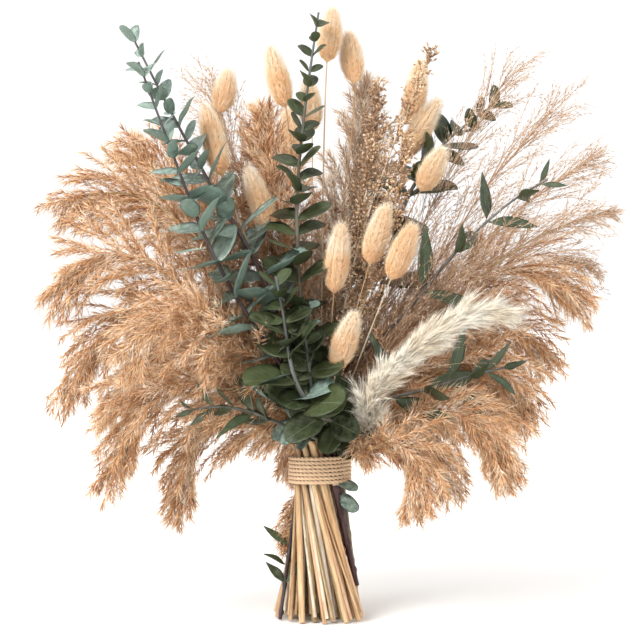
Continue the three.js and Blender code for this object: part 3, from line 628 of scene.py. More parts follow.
def grass_tree():
    tree, given = new_tree("grass head", {
        **STEM_INPUTS, **strand_inputs("Spikelet"), **strand_inputs("Hair"), "Seed": "Int"})
    stem, rest = stem_and_rest(given)
    twigs = wire(tree, "GeometryNodeMeshToCurve", {"Mesh": rest})[0]
    return finished(stem, tube(twigs, 3, given["Spikelet material"], 0.0, STRAND_SHARE),
        twig_strands(twigs, given, "Spikelet", given["Seed"]),
        twig_strands(twigs, given, "Hair", given["Seed"] + 20))


def object_with_map(name, mesh, places):
    """A small shape for the trees, with the place in the map of each of its corners."""
    corner_map = mesh.uv_layers.new(name=UV)
    corner_map.data.foreach_set("uv", np.array(places, np.float32).ravel())
    return in_scene(bpy.data.objects.new(name, mesh))


def strand_shape(name, rings, sides=3):
    """A strand one unit long and one wide, closed at both ends. Each ring is (share of length, radius)."""
    points, faces, places = [], [], []
    for share, radius in rings:
        for k in range(sides if radius else 1):
            turn = math.tau * k / sides
            points.append((radius * math.cos(turn), radius * math.sin(turn), share))
            places.append((k / sides, share))
    start = 0
    for (_, wide), (_, next_wide) in zip(rings, rings[1:]):
        here, there = sides if wide else 1, sides if next_wide else 1
        for k in range(sides):
            loop = [k % here, (k + 1) % here, here + (k + 1) % there, here + k % there]
            faces.append([start + corner for corner in dict.fromkeys(loop)])
        start += here
    if rings[0][1]:
        faces.append(list(range(sides))[::-1])
    if rings[-1][1]:
        faces.append([start + k for k in range(sides)])
    mesh = mesh_of(name, points, faces=faces)
    return object_with_map(name, mesh, [places[loop.vertex_index] for loop in mesh.loops])


def noted(mesh, **notes):
    """Gives a mesh's points the numbers and the directions that a tree reads."""
    for label, values in notes.items():
        kind, field = ("FLOAT_VECTOR", "vector") if np.ndim(values) > 1 else ("FLOAT", "value")
        data = mesh.attributes.new(label, kind, "POINT").data
        data.foreach_set(field, np.array(values, np.float32).ravel())
    return mesh


def lines_mesh(name, groups):
    """A mesh of lines only. Each group is (points by line, thickness, lush, stalk)."""
    points, edges, thick, lush, stalk = [], [], [], [], []
    for group, wide, full, is_stalk in groups:
        for line in group:
            start = len(points)
            points.extend(line)
            edges.extend((start + i, start + i + 1) for i in range(len(line) - 1))
            for values, value in ((thick, wide), (lush, full), (stalk, is_stalk)):
                values.extend(np.broadcast_to(value, len(line)))
    return noted(mesh_of(name, points, edges), thick=thick, lush=lush, stalk=stalk)


def grown(name, mesh, tree, values):
    """Runs a tree on a mesh and keeps the result as a plain piece."""
    bud = in_scene(bpy.data.objects.new(name + "_bud", mesh))
    growth = bud.modifiers.new("growth", "NODES")
    growth.node_group = tree
    for item in tree.interface.items_tree:
        if item.in_out == "INPUT" and item.name in values:
            growth[item.identifier] = values[item.name]
    full = bpy.data.meshes.new_from_object(bud.evaluated_get(bpy.context.evaluated_depsgraph_get()))
    bpy.data.objects.remove(bud)
    full.name = name
    for extra in ("thick", "lush", "stalk", "run", "round", "tint", "aim", "face", "sweep"):
        if extra in full.attributes:
            full.attributes.remove(full.attributes[extra])
    return in_scene(bpy.data.objects.new(name, full))


def stands_for(piece, node, slot):
    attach(piece, "root")
    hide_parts(node)


def stem_group(plant, core, knots=0.05, every=0.06, tip=1.0):
    """A stem from foot to tip for lines_mesh, whose radius in its head is core, in millimetres. There is a
    joint every so often, thicker than the rest by the share in knots."""
    low, count = stem_points(plant)
    head = head_spots(plant, np.linspace(HEAD_FROM, tip, HEAD_POINTS))[0]
    own_size = plant["seed"] * 0.618 % 1
    radius = STEM_R[plant["kind"]] * MM * (0.68 + 0.3 * own_size)
    up = np.interp(np.arange(count), [LOW_POINTS - 1, count], [0, 1])
    thinner = {"bunny": 0.5, "airy": 0.5, "round": 0.58}.get(plant["kind"], NECK_THINNER)
    thick = radius * (1 - (1 - thinner) * smooth(up, 0, 1))
    run = np.concatenate([[0], np.cumsum(np.linalg.norm(np.diff(low, axis=0), axis=1))])
    joint = np.exp(-((((run + 0.013 * plant["seed"]) % every) - every / 2) / JOINT_LONG) ** 2)
    thick = thick * (1 + knots * joint)
    head_thick = np.interp(np.linspace(HEAD_FROM, 1, HEAD_POINTS), [0, 1], core) * MM
    tile = 1.0 + plant["seed"] * 5 % STEM_TILES
    return [np.vstack([low, head])], np.concatenate([thick, head_thick]), 0.0, tile


def stem_with(name, stem, points, faces=(), **notes):
    """A mesh of a stem and of the points that a tree grows leaves or hairs on, with their notes."""
    (stalk,), thick, _, tile = stem
    rows = len(stalk)
    mesh = mesh_of(name, np.vstack([stalk, points]), [(i, i + 1) for i in range(rows - 1)],
        [[rows + i for i in face] for face in faces])
    on_stem = {"thick": thick, "stalk": np.full(rows, tile)}
    notes = {**dict.fromkeys(on_stem, np.zeros(len(points))), **notes}
    return noted(mesh, **{label: [*on_stem.get(label, np.zeros((rows, *values.shape[1:]))), *values]
        for label, values in notes.items()})


def side_straws(plant, rng, count=3, spread_at_foot=0.01):
    """Thin straws that stand round a stem under the twine, for lines_mesh. They end inside the twine."""
    foot, top = plant["line"][:2]
    groups = []
    for k in range(count):
        turn, away = rng.uniform(0, math.tau), rng.uniform(0.4, 1) * spread_at_foot
        out = np.array([math.cos(turn), math.sin(turn), 0])
        share = np.linspace(rng.uniform(0.01, 0.05), 0.92, 9)[:, None]
        line = foot + (top - foot) * share + out * (away * (1 - share) ** 1.4 + 0.0007)
        wide = rng.uniform(0.0008, 0.0015) * np.linspace(1, 0.8, 9)
        groups.append(([line], wide, 0.0, 1.0 + (plant["seed"] * 5 + 1 + 2 * k) % STEM_TILES))
    return groups


def bent_twigs(at, along, out, opening, long, sag, steps, rng, wander=0.06):
    """Twigs that leave a stalk at an angle and bend down more towards their tips."""
    aim = along * np.cos(opening)[:, None] + out * np.sin(opening)[:, None]
    points = [at]
    for k in range(steps):
        aim = aim + rng.normal(0, wander, aim.shape)
        aim[:, 2] -= sag * (k + 1) / steps
        aim /= np.linalg.norm(aim, axis=1)[:, None]
        points.append(points[-1] + aim * (long / steps)[:, None])
    return np.stack(points, axis=1)


def kept_in_size(twigs):
    """Shortens the twigs that would reach past the size of the whole bunch, each to its own length."""
    within = (np.arange(len(twigs)) * GOLDEN % 1 * UNEVEN)[:, None, None]
    low = np.array(solid_box[0]) + (INSIDE, INSIDE, OVER_FLOOR) + within * (1, 0.3, 1)
    high = np.array(solid_box[1]) - (INSIDE, INSIDE, 0) - within * (1, 0.3, 0.5)
    start, reach = twigs[:, :1], twigs - twigs[:, :1]
    far = np.maximum(np.abs(reach), 1e-6)
    share = np.where(reach > 0, high - start, start - low) / far
    return start + reach * np.clip(share.min(axis=(1, 2)), SHORTEST, 1)[:, None, None]


def twigs_on_head(plant, count, reach, opening, sag, shape, steps, rng, first=0.0, last=0.985, flat=0.0):
    """Twigs all round a head from first to last, each a golden turn on from the one before, and as long as
    shape says there. A flat head has fewer of them at its two level sides."""
    share = first + (last - first) * ((np.arange(count) + 0.5) / count)
    at, along, side, over = head_spots(plant, share)
    turn = np.arange(count) * GOLDEN + rng.uniform(-0.5, 0.5, count)
    out = side * np.cos(turn)[:, None] + over * np.sin(turn)[:, None]
    level = np.cross(along, (0, 0, 1))
    level /= np.linalg.norm(level, axis=1)[:, None]
    out -= level * ((out * level).sum(1) * flat)[:, None]
    out /= np.linalg.norm(out, axis=1)[:, None]
    angle = np.interp(share, [0, 1], opening) * rng.uniform(0.6, 1.25, count)
    angle *= 1 - 0.5 * flat * np.abs((out * level).sum(1))
    long = reach * np.interp(share, *shape) * rng.uniform(0.7, 1.12, count)
    return kept_in_size(bent_twigs(at, along, out, angle, long, sag, steps, rng))


def map_place(tree):
    """Across and up in the piece's own map."""
    return split(wire(tree, "ShaderNodeUVMap", uv_map=UV)[0])[:2]


def mixed(factor, first, second, how="MIX"):
    made = {0: factor, 6: first, 7: second}
    tree = next(v.tree for v in made.values() if isinstance(v, Value))
    return wire(tree, "ShaderNodeMix", made, data_type="RGBA", blend_type=how)[0]


def put_out(group, **values):
    """Gives a shared effect its named outputs."""
    for label, value in values.items():
        kind = "Color" if value.socket.type == "RGBA" else "Float"
        group.interface.new_socket(label, in_out="OUTPUT", socket_type="NodeSocket" + kind)
    ends = group.nodes.new("NodeGroupOutput").inputs
    for label, value in values.items():
        group.links.new(value.socket, ends[label])
    return group


def shared_effect(name, colours="", numbers=""):
    """An effect that several materials use: a shader node group. Its inputs are named by two lists."""
    kinds = {**dict.fromkeys(colours.split(), "Color"), **dict.fromkeys(numbers.split(), "Float")}
    return with_inputs(bpy.data.node_groups.new(name, "ShaderNodeTree"), kinds)


def placed(tree, group, colours=(), **values):
    """A shared effect in a material, with the material's own values. Colours are given in their order."""
    labels = [s.name for s in group.interface.items_tree if s.in_out == "INPUT"]
    values.update(zip(labels, map(linear, colours)))
    return wire(tree, "ShaderNodeGroup", values, node_tree=group)


def spread(value, low, high, first=0.0, last=1.0):
    """A value between low and high, as one between first and last."""
    return wire(value.tree, "ShaderNodeMapRange", {
        "Value": value, "From Min": low, "From Max": high, "To Min": first, "To Max": last})[0]


def blended(value, given, labels):
    """A smooth run of the given colours over a value from 0 to 1, evenly spaced."""
    first, *others = [given[label] for label in labels.split()]
    for k, colour in enumerate(others):
        first = mixed(spread(value, k / len(others), (k + 1) / len(others)), first, colour)
    return first


def fine_noise(tree, spot, **values):
    return wire(tree, "ShaderNodeTexNoise", {"Vector": spot, "Scale": 1.0, "Detail": 3.0, **values})[0]


def strand_tints():
    """Every strand has its own tint out of four, painted shade towards its root, and its own gloss."""
    group, given = shared_effect("strand tints", "Darkest Dark Light Palest Root", "Reach Dullness")
    across, up = map_place(group)
    tint = across / STRAND_SHARE
    colour = blended(tint, given, "Darkest Dark Light Palest")
    # painted shade: each strand is darker towards its root, where the strands crowd and shade falls
    foot = spread(up, 0.0, given["Reach"], 1.0, 0.0)
    return put_out(group, Colour=mixed(foot, colour, given["Root"], "MULTIPLY"),
        Roughness=given["Dullness"] + spread(tint, 0.0, 1.0, -0.08, 0.08))


def fine_lines():
    """Fine uneven lines that run the length of a stem or a yarn."""
    group, given = shared_effect("fine lines", numbers="Around Along")
    across, up = map_place(group)
    return put_out(group, Lines=fine_noise(group, xyz(group, across * given["Around"], up * given["Along"])))


def stem_look():
    """A stem: a run of colour up its height, a tint of its own, blotches and fine grooves along it."""
    group, given = shared_effect("stem look", "Foot Tie Top First Second Third Fourth Blotches Grooves",
        "Dullness")
    across, up = map_place(group)
    colour = blended(up, given, "Foot Tie Top")
    tile = ((across - STEM_FROM) * (STEM_TILES / STEM_SHARE)).math("FLOOR")
    own = blended(tile / (STEM_TILES - 1.0), given, "First Second Third Fourth")
    colour = mixed(1.0, colour, own, "MULTIPLY")
    spot = wire(group, "ShaderNodeTexCoord")[3]
    spot = wire(group, "ShaderNodeMapping", {"Vector": spot, "Scale": (170, 170, 26)})[0]
    blotch = spread(fine_noise(group, spot), 0.4, 0.66)
    colour = mixed(blotch, colour, given["Blotches"], "MULTIPLY")
    lines = placed(group, FINE_LINES, Around=420.0, Along=16.0)[0]
    colour = mixed(spread(lines, 0.42, 0.7), colour, given["Grooves"], "MULTIPLY")
    return put_out(group, Colour=colour, Roughness=given["Dullness"] + spread(blotch, 0.0, 1.0, -0.05, 0.12),
        Height=lines)


STRAND_TINTS, FINE_LINES = strand_tints(), fine_lines()
STEM_LOOK = stem_look()


def coat(material, colour, dull, height=None, relief=(0, 0), **plain):
    """Joins a look to a material's shader, with relief as (strength, depth), and sets its plain values."""
    tree, ends = material.node_tree, {"Base Color": colour, "Roughness": dull}
    if height is not None:
        ends["Normal"] = wire(tree, "ShaderNodeBump", {
            "Height": height, "Strength": relief[0], "Distance": relief[1]})[0]
    for label, value in ends.items():
        tree.links.new(value.socket, skin_of(material)[label])
    for label, value in plain.items():
        skin_of(material)[label.replace("_", " ")].default_value = value
    return material


def strand_material(name, tints, root, dullness=0.7, reach=0.45, sheen=0.4):
    """Dry strands, in four tints from the darkest to the palest, with root as the colour of painted shade at
    their feet, over the share reach of their length.
    """
    material = new_material(name, dullness)
    # root and reach set the painted shade towards each strand's root
    look = placed(material.node_tree, STRAND_TINTS, (*tints, root), Reach=reach, Dullness=dullness)
    return coat(material, *look, Sheen_Weight=sheen, Sheen_Tint=linear(tints[-1]), Sheen_Roughness=0.5,
        Specular_IOR_Level=0.3)


def stem_material(name, heights, tints, blotches, grooves, dullness):
    """A dry stem, in three colours from its foot to its top and four tints from one stem to the next."""
    material = new_material(name, dullness)
    look = placed(material.node_tree, STEM_LOOK, (*heights, *tints, blotches, grooves), Dullness=dullness)
    return coat(material, *look, relief=(0.35, 0.0004), Specular_IOR_Level=0.35)


spikelet = strand_shape("spikelet_shape", [(0, 0), (0.38, 0.5), (1, 0)])
hair = strand_shape("hair_shape", [(0, 0.5), (1, 0)])
grass = grass_tree()
straw = stem_material("straw", ("ece6de", "e3dacd", "d4c4ac"),
    ("fffdf8", "eed4aa", "e0baa0", "c8be98"), "e8dece", "c8bcae", 0.6)
# The last colour of each strand material is that of the painted shade at the strands' roots.
reed_strands = strand_material("reed_spikelets", ("7c4724", "c68a54", "f2c594", "ffe8cc"), "cfa076")
reed_hairs = strand_material("reed_hairs", ("bd8656", "e8bb8a", "fbdebc", "fff4e4"), "deb486")
pale_strands = strand_material("pale_reed_spikelets", ("b08768", "d8b797", "ecd4bb", "f9ecdc"), "d8bb9c")
pale_hairs = strand_material("pale_reed_hairs", ("dcbc9c", "ecd5bb", "f7e8d6", "fff8ee"), "e6cfb4")

REED = dict(count=130, reach=0.056, opening=(0.9, 0.4), sag=0.16, first=-0.6, flat=0.6,
    shape=([-0.6, 0, 0.15, 0.6, 1], [0.4, 0.85, 1, 0.85, 0.4]))
TOP_REED = dict(count=200, reach=0.05, opening=(0.68, 0.35), sag=0.02, first=-0.85,
    shape=([-0.85, -0.2, 0.1, 0.6, 1], [1.3, 1.3, 1.0, 0.72, 0.3]))


def plants_of(kind):
    """The plants of one kind, each with a stream of random numbers of its own."""
    for name, plant in PLANTS.items():
        if plant["kind"] == kind:
            yield name, plant, np.random.default_rng(plant["seed"])


def grass_piece(plant, name, ending, slot, groups, stem_sides, *strands):
    """Grows one plant of grass from its groups of lines and its two kinds of strand."""
    values = {"Stem sides": stem_sides, "Stem material": straw, "Seed": plant["seed"]}
    for kind in strands:
        values.update(kind)
    stands_for(grown(f"{name}_{ending}", lines_mesh(name, groups), grass, values), name, slot)


def low_tuft(plant, rng, count=30, steps=7):
    """A small second head that hangs under the twine at the outer side of the bunch."""
    foot, top = plant["line"][:2]
    height = np.linspace(plant["tuft"], plant["tuft"] - 36, count) * MM
    at = foot + (top - foot) * (height / top[2])[:, None]
    away = at - AXIS
    turn = np.arctan2(away[:, 1], away[:, 0]) + rng.uniform(-0.9, 0.9, count)
    out = np.stack([np.cos(turn), np.sin(turn), np.zeros(count)], axis=1)
    down = np.tile((0.0, 0.0, -1.0), (count, 1))
    long = np.linspace(0.028, 0.018, count) * rng.uniform(0.7, 1.1, count)
    return bent_twigs(at, down, out, rng.uniform(0.35, 0.8, count), long, 0.0, steps, rng)


for name, plant, rng in plants_of("reed"):
    habit = {**(TOP_REED if "top" in name else REED), **plant.get("habit", {})}
    twigs = twigs_on_head(plant, steps=7, rng=rng, **habit)
    if "tuft" in plant:
        twigs = np.vstack([twigs, low_tuft(plant, rng)])
    steps = twigs.shape[1]
    strands, hairs = (pale_strands, pale_hairs) if name == "reed_top_2" else (reed_strands, reed_hairs)
    groups = [stem_group(plant, (1.4, 0.3), tip=habit.get("last", 1.0)), *side_straws(plant, rng),
        (twigs, np.linspace(0.00035, 0.0001, steps), np.linspace(0.75, 1.05, steps), 0.0)]
    grass_piece(plant, name, "plume", "reed_plume", groups, 8,
        strands_of("Spikelet", spikelet, strands, 0.0017, 0.0078, 0.0010, 0.6, 0.12),
        strands_of("Hair", hair, hairs, 0.0009, 0.013, 0.0006, 0.95, 0.1))


# ---- Cream plume ----
# One long pampas head, creamy white: silky hairs on short twigs that follow the stalk closely, so that it
# reads as one soft tail, narrow at its base and swept to a blunt tip.
# Its last colour is that of the painted shade at the strands' roots.
cream_silk = strand_material("cream_silk", ("f4dfc0", "fdf0da", "fff8e9", "fffcf2"), "fff3e0", 0.6, 0.3, 0.8)
CREAM_TIP = 0.74
for name, plant, rng in plants_of("cream"):
    lengths = ([-0.9, -0.2, 0.2, 0.5, 0.72], [0.8, 0.66, 0.85, 1, 0.6])
    twigs = twigs_on_head(plant, 600, 0.025, (0.36, 0.2), 0.07, lengths, 4, rng, -0.9, CREAM_TIP)
    silk = (twigs, np.linspace(0.0003, 0.00008, twigs.shape[1]), np.linspace(0.8, 1.0, twigs.shape[1]), 0.0)
    groups = [stem_group(plant, (2.0, 0.5), tip=CREAM_TIP), *side_straws(plant, rng), silk]
    grass_piece(plant, name, "silk", "cream_plume", groups, 10,
        strands_of("Spikelet", spikelet, cream_silk, 0.0024, 0.011, 0.0005, 0.3, 0.02),
        strands_of("Hair", hair, cream_silk, 0.0005, 0.017, 0.0005, 0.26, 0.02))


# ---- Bunny tails ----
# Each is a thin straw with one egg-shaped head of fine soft hairs, which stand out at its sides and run
# together at its tip.
def fur_tree():
    tree, given = new_tree("furry head", {
        **STEM_INPUTS, "Hair": "Object", "Hair material": "Material", "Hair density": "Float",
        "Hair length": "Float", "Hair width": "Float", "Stand out": "Float", "Seed": "Int"})
    stem, core = stem_and_rest(given)
    seed, lush = given["Seed"], named(tree, "lush")
    points, out = wire(tree, "GeometryNodeDistributePointsOnFaces", {
        "Mesh": core, "Density": given["Hair density"], "Seed": seed})[:2]
    aim = named(tree, "sweep", "FLOAT_VECTOR") + out * given["Stand out"] + any_way(seed, 0.22)
    size = xyz(tree, given["Hair width"], given["Hair width"],
        given["Hair length"] * (lush * random_number(seed + 5, 0.6, 1.2)))
    paler = (named(tree, "run") - 0.4) * 0.8
    fur = aimed_strands(points, aim, size, given, "Hair", seed, paler)
    core = coated(mapped(core, lush * (STRAND_SHARE * 0.5), named(tree, "run")), given["Hair material"])
    return finished(stem, core, fur)


def egg(low, high, radius, rings=11, sides=12):
    """The body under the hairs: its points, faces, each point's share of the length, and its axis."""
    axis = (high - low) / np.linalg.norm(high - low)
    side = np.cross(axis, (0, 1, 0))
    side /= np.linalg.norm(side)
    over = np.cross(axis, side)
    share = np.linspace(0, 1, rings)
    wide = radius * np.sin(np.pi * np.minimum(1, share ** 0.72)) ** 0.62
    turn = np.arange(sides) * math.tau / sides
    around = side * np.cos(turn)[:, None] + over * np.sin(turn)[:, None]
    points = [low] + [low + (high - low) * s + around[k] * w for s, w in zip(share[1:-1], wide[1:-1])
        for k in range(sides)] + [high]
    last = len(points) - 1
    faces = [(0, 1 + k, 1 + (k + 1) % sides) for k in range(sides)]
    for start in range(1, 1 + (rings - 3) * sides, sides):
        faces += [(start + k, start + sides + k, start + sides + (k + 1) % sides, start + (k + 1) % sides)
            for k in range(sides)]
    start = 1 + (rings - 3) * sides
    faces += [(start + k, last, start + (k + 1) % sides) for k in range(sides)]
    shares = np.concatenate([[0], np.repeat(share[1:-1], sides), [1]])
    return np.array(points), [face[::-1] for face in faces], shares, axis


fur = fur_tree()
# Its last colour is that of the painted shade at the hairs' roots and the foot of the head's core.
bunny_fur = strand_material("bunny_fur", ("f0bd88", "fad2a2", "ffe2be", "fff2dc"), "fff2e2", 0.7, 0.4, 0.6)
BUNNY_R, HEAD_CORE, HEAD_LENGTH = 0.0092, 0.68, 0.93
LUSH_UP_HEAD = ([0, 0.15, 0.5, 1], [0.55, 0.95, 1, 0.95])
HIDDEN = 7                    # points of the stem that would lie in the head
for name, plant, _ in plants_of("bunny"):
    low, high = plant["line"][-2:]
    body, faces, shares, axis = egg(low, low + (high - low) * HEAD_LENGTH, BUNNY_R * HEAD_CORE)
    (stalk,), thick, *rest = stem_group(plant, (0.8, 0.5))
    stem = ([stalk[:-HIDDEN]], thick[:-HIDDEN], *rest)
    mesh = stem_with(name, stem, body, faces, run=shares, lush=np.interp(shares, *LUSH_UP_HEAD),
        sweep=np.tile(axis, (len(body), 1)))
    tail = grown(name + "_fur", mesh, fur, {
        "Stem sides": 6, "Stem material": straw, "Hair": hair, "Hair material": bunny_fur,
        "Hair density": 3.6e6, "Hair length": 0.0074, "Hair width": 0.00022, "Stand out": 0.72,
        "Seed": plant["seed"]})
    stands_for(tail, name, "bunny_tail")


# ---- Eucalyptus ----
# Seven branches have round leaves and four have narrow ones, in opposite pairs, each pair a quarter turn on
# from the last. The leaves are firm and a little cupped, with a pale rib, on dark woody stems.
LEAF_TILES = 4                # leaves of a branch differ: the map has this many across, and half as many up
LAST_LEAF = 0.985             # share of the stem's head where the last pair of leaves can be
WAVE = 0.012                  # how far a leaf waves up and down along its length
FRONT = np.array((0.0, -1.0, 0.0))                      # leaves turn their upper face a little to this side


def leaf_shape(name, outline, wide, droop, cup, body=0.018, steps=12, half=3):
    """A closed thin leaf, one unit long from the origin along X. Its upper face looks up and lies in the
    map's first unit up, and its under face in the second."""
    share = (1 - np.cos(np.linspace(0, math.pi, steps))) / 2
    width = np.interp(share, *outline) * wide / 2
    points, faces, places, index = [], [], [], {}

    def key_of(face, i, j):
        """The two faces share their points at the leaf's edge and at its two ends."""
        at_end = width[i] == 0
        return 0 if at_end or abs(j) == half else face, i, 0 if at_end else j

    for face in (0, 1):
        for i, (s, w) in enumerate(zip(share, width)):
            for j in range(-half, half + 1):
                key = key_of(face, i, j)
                if key in index:
                    continue
                across = j / half if w > 0 else 0
                z = -droop * s * s + cup * abs(across) ** 1.5 * w * 2 + WAVE * math.sin(9 * s + 2 * across)
                rise = body * (1 - across ** 2) * math.sin(math.pi * min(1, s * 1.05 + 0.02)) / 2
                is_edge = abs(j) == half or w == 0
                index[key] = len(points)
                points.append((s, across * w, z + (0 if is_edge else rise * (1 - 2 * face))))
        for i in range(steps - 1):
            for j in range(-half, half):
                corners = [(i, j), (i + 1, j), (i + 1, j + 1), (i, j + 1)]
                loop = {}
                for a, b in corners if face == 0 else corners[::-1]:
                    place = (0.5 + b / half / 2, face + share[a] * 0.98 + 0.01)
                    loop.setdefault(index[key_of(face, a, b)], place)
                faces.append(list(loop))
                places.extend(loop.values())
    return object_with_map(name, mesh_of(name, points, faces=faces), places)


def leaf_tree():
    tree, given = new_tree("leafy branch", {
        **STEM_INPUTS, "Leaf": "Object", "Leaf material": "Material", "Uneven": "Float", "Seed": "Int"})
    stem, buds = stem_and_rest(given)
    aim, face = (named(tree, label, "FLOAT_VECTOR") for label in ("aim", "face"))
    turn = wire(tree, "FunctionNodeAxesToRotation", {"Primary Axis": aim, "Secondary Axis": face},
        primary_axis="X", secondary_axis="Z")[0]
    seed, long, uneven = given["Seed"], named(tree, "lush"), given["Uneven"]
    wide = uneven * random_number(seed, -0.7, 0.5) + 1.0
    bent = uneven * random_number(seed + 1, -6.0, 5.0) + 1.0
    leaves, across, up = standing_on(buds, given["Leaf"], turn, xyz(tree, long, long * wide, long * bent),
        random_number(seed + 2, 0.0, LEAF_TILES - 0.001))
    tile = named(tree, "tint")
    across = across * 0.92 + (tile.math("FLOOR") + 0.04)
    up = up + tile.math("FRACT").math("GREATER_THAN", 0.5) * 2.0
    leaves = mapped(leaves, across * (STRAND_SHARE / LEAF_TILES), up / LEAF_TILES)
    return finished(stem, coated(leaves, given["Leaf material"]))


def leaf_face():
    """A firm leaf: its own shade, cloudy patches, a pale rib with faint side veins, and a duller back."""
    group, given = shared_effect("leaf face", "Dark Middle Light Patches Rib Under", "Veins Dullness")
    across, up = map_place(group)
    across, up = across * (LEAF_TILES / STRAND_SHARE), up * LEAF_TILES
    is_under = up.math("FLOOR").math("MODULO", 2.0)
    tile = xyz(group, across.math("FLOOR"), (up / 2.0).math("FLOOR"))
    draw = wire(group, "ShaderNodeTexWhiteNoise", {"Vector": tile}, noise_dimensions="2D")[0]
    off_rib = (across.math("FRACT") - 0.5).math("ABSOLUTE")
    along = up.math("FRACT")
    spot = wire(group, "ShaderNodeTexCoord")[3]
    cloud = spread(fine_noise(group, spot, Scale=190.0, Detail=5.0, Roughness=0.62), 0.4, 0.68)
    colour = mixed(cloud, blended(draw, given, "Dark Middle Light"), given["Patches"])
    rib = spread(off_rib, 0.006, 0.024, 0.38, 0.0)
    base = spread(along, 0.0, 0.2, 0.35, 0.0)
    wave = ((along * 8.0 - off_rib * 7.0) * math.tau).math("SINE")
    veins = spread(wave, 0.8, 1.0) * given["Veins"]
    pale = rib.math("MAXIMUM", base.math("MAXIMUM", veins))
    colour = mixed(pale, colour, given["Rib"])
    return put_out(group, Colour=mixed(is_under * 0.65, colour, given["Under"]),
        Roughness=given["Dullness"] + spread(cloud, 0.0, 1.0, -0.08, 0.12), Height=cloud - pale * 1.5)


LEAF_FACE = leaf_face()


def leaf_material(name, colours, veins, dullness):
    """Leaves in three shades, with the colours of their patches, rib and back."""
    material = new_material(name, dullness)
    look = placed(material.node_tree, LEAF_FACE, colours, Veins=veins, Dullness=dullness)
    return coat(material, *look, relief=(0.3, 0.0006))


def chance(seed):
    """The same repeatable stream of numbers from 0 to 1 that the solids' leaves were set by."""
    state = seed & 0xFFFFFFFF
    while True:
        state = (state + 0x6D2B79F5) & 0xFFFFFFFF
        t = ((state ^ (state >> 15)) * (1 | state)) & 0xFFFFFFFF
        t = ((t + (((t ^ (t >> 7)) * (61 | t)) & 0xFFFFFFFF)) & 0xFFFFFFFF) ^ t
        yield (t ^ (t >> 14)) / 4294967296


def leaf_pair(at, along, side, over, turn, size, opening, draws):
    """Where two opposite leaves leave their stem: at, aim, the way that the upper face looks, and size."""
    for half in (0, math.pi):
        lift = -0.32 + 0.54 * next(draws)
        swing = turn + half - 0.3 + 0.6 * next(draws)
        out = side * math.cos(swing) + over * math.sin(swing)
        aim = along * math.cos(opening + lift) + out * math.sin(opening + lift)
        yield at + aim * 0.0012, aim, along, size


def leaves_of(plant, opening, first):
    """The pairs along a branch, on round branches smaller ones between them, and those on its bare stem."""
    pairs, is_round = plant["pairs"], plant["kind"] == "round"
    fuller = plant.get("fuller", 0.00112 if is_round else 0.00145)
    rows = []
    for start, count, turn, factor, least, widest in (
            (0.3, pairs, 0.35, fuller, 0, 1.12), (0.8, (pairs - 1) * is_round, 1.15, 0.001, 0.34, 1.05)):
        for k in range(count):
            share = first + (LAST_LEAF - first) * (k + start) / (pairs - 0.4)
            size = plant["leaf"] * factor * (widest - 0.7 * smooth(share, 0.2, 1.05))
            if share > least:
                rows.append((share, k * math.pi / 2 + turn, size, opening * (1 - 0.38 * share ** 3)))
    for k in range(plant.get("more", 0)):
        rows.append((-0.16 - 0.17 * k, k * math.pi / 2 - 1.2, plant["leaf"] * (0.00098 - 0.00004 * k),
            (0.9 + 0.12 * k) * opening))
    draws = chance(plant["seed"])
    for share, turn, size, opening in rows:
        spot = [v[0] for v in head_spots(plant, np.array([share]))]
        yield from leaf_pair(*spot, turn, size, opening, draws)


def low_leaves_of(plant, size, opening):
    """The pairs on the stem under the twine, at their heights in millimetres."""
    draws = chance(plant["seed"] + 100)
    foot, top = plant["line"][:2]
    along = (top - foot) / np.linalg.norm(top - foot)
    side, over = (plant["frames"][k][0] for k in (1, 2))
    for z in plant.get("low_leaves", ()):
        at = foot + (top - foot) * (z * MM / top[2])
        yield from leaf_pair(at, along, side, over, plant.get("low_turn", z), size, opening, draws)


round_leaf = leaf_shape("round_leaf_shape", ([0, 0.02, 0.08, 0.2, 0.42, 0.62, 0.8, 0.92, 0.98, 1],
    [0, 0.2, 0.5, 0.8, 0.98, 1, 0.88, 0.62, 0.32, 0]), 0.74, 0.1, 0.1)
long_leaf = leaf_shape("long_leaf_shape", ([0, 0.02, 0.08, 0.2, 0.42, 0.65, 0.84, 0.94, 0.98, 1],
    [0, 0.22, 0.55, 0.84, 1, 0.98, 0.84, 0.58, 0.34, 0]), 0.62, 0.08, 0.12)
narrow_leaf = leaf_shape("narrow_leaf_shape", ([0, 0.05, 0.12, 0.32, 0.55, 0.78, 0.92, 1],
    [0, 0.1, 0.45, 1, 0.95, 0.55, 0.2, 0]), 0.27, 0.14, 0.14)
round_green = leaf_material("round_leaves",
    ("131909", "222b15", "3e4728", "454f30", "7d8566", "434d31"), 0.1, 0.5)
blue_green = leaf_material("blue_leaves",
    ("394a41", "5a6f64", "82968a", "a0b2a6", "bac6bb", "6a7e72"), 0.08, 0.52)
narrow_green = leaf_material("narrow_leaves",
    ("1b2414", "29341e", "3d4830", "445036", "758064", "404b34"), 0.08, 0.45)
dark_bark = stem_material("dark_bark", ("56393a", "5e4a4a", "74787a"),
    ("ffffff", "f0e4e2", "e2d6d6", "d6cccc"), "b8a4a0", "a08c88", 0.42)
grey_bark = stem_material("grey_bark", ("4b4547", "5a5254", "7f8580"),
    ("ffffff", "f0e8e8", "e6dede", "dcd4d4"), "b0a6a4", "9a9290", 0.45)
green_bark = stem_material("green_bark", ("d2bc92", "827e74", "6e797c"),
    ("ffffff", "f0ece4", "e6e2d8", "dcdad0"), "ccc0b0", "bcb2a4", 0.5)
BARKS = {"eucalyptus_1": dark_bark, "eucalyptus_2": dark_bark, "willow_leaf_1": grey_bark}
leafy = leaf_tree()
BLUE = ("eucalyptus_1", "eucalyptus_2", "eucalyptus_7")
ROUND = dict(leaf=round_leaf, green=round_green, opening=1.2, first=0.03, facing=0.6, core=(1.9, 0.8),
    low=(0.0195, 2.1), slot="round_leaves")
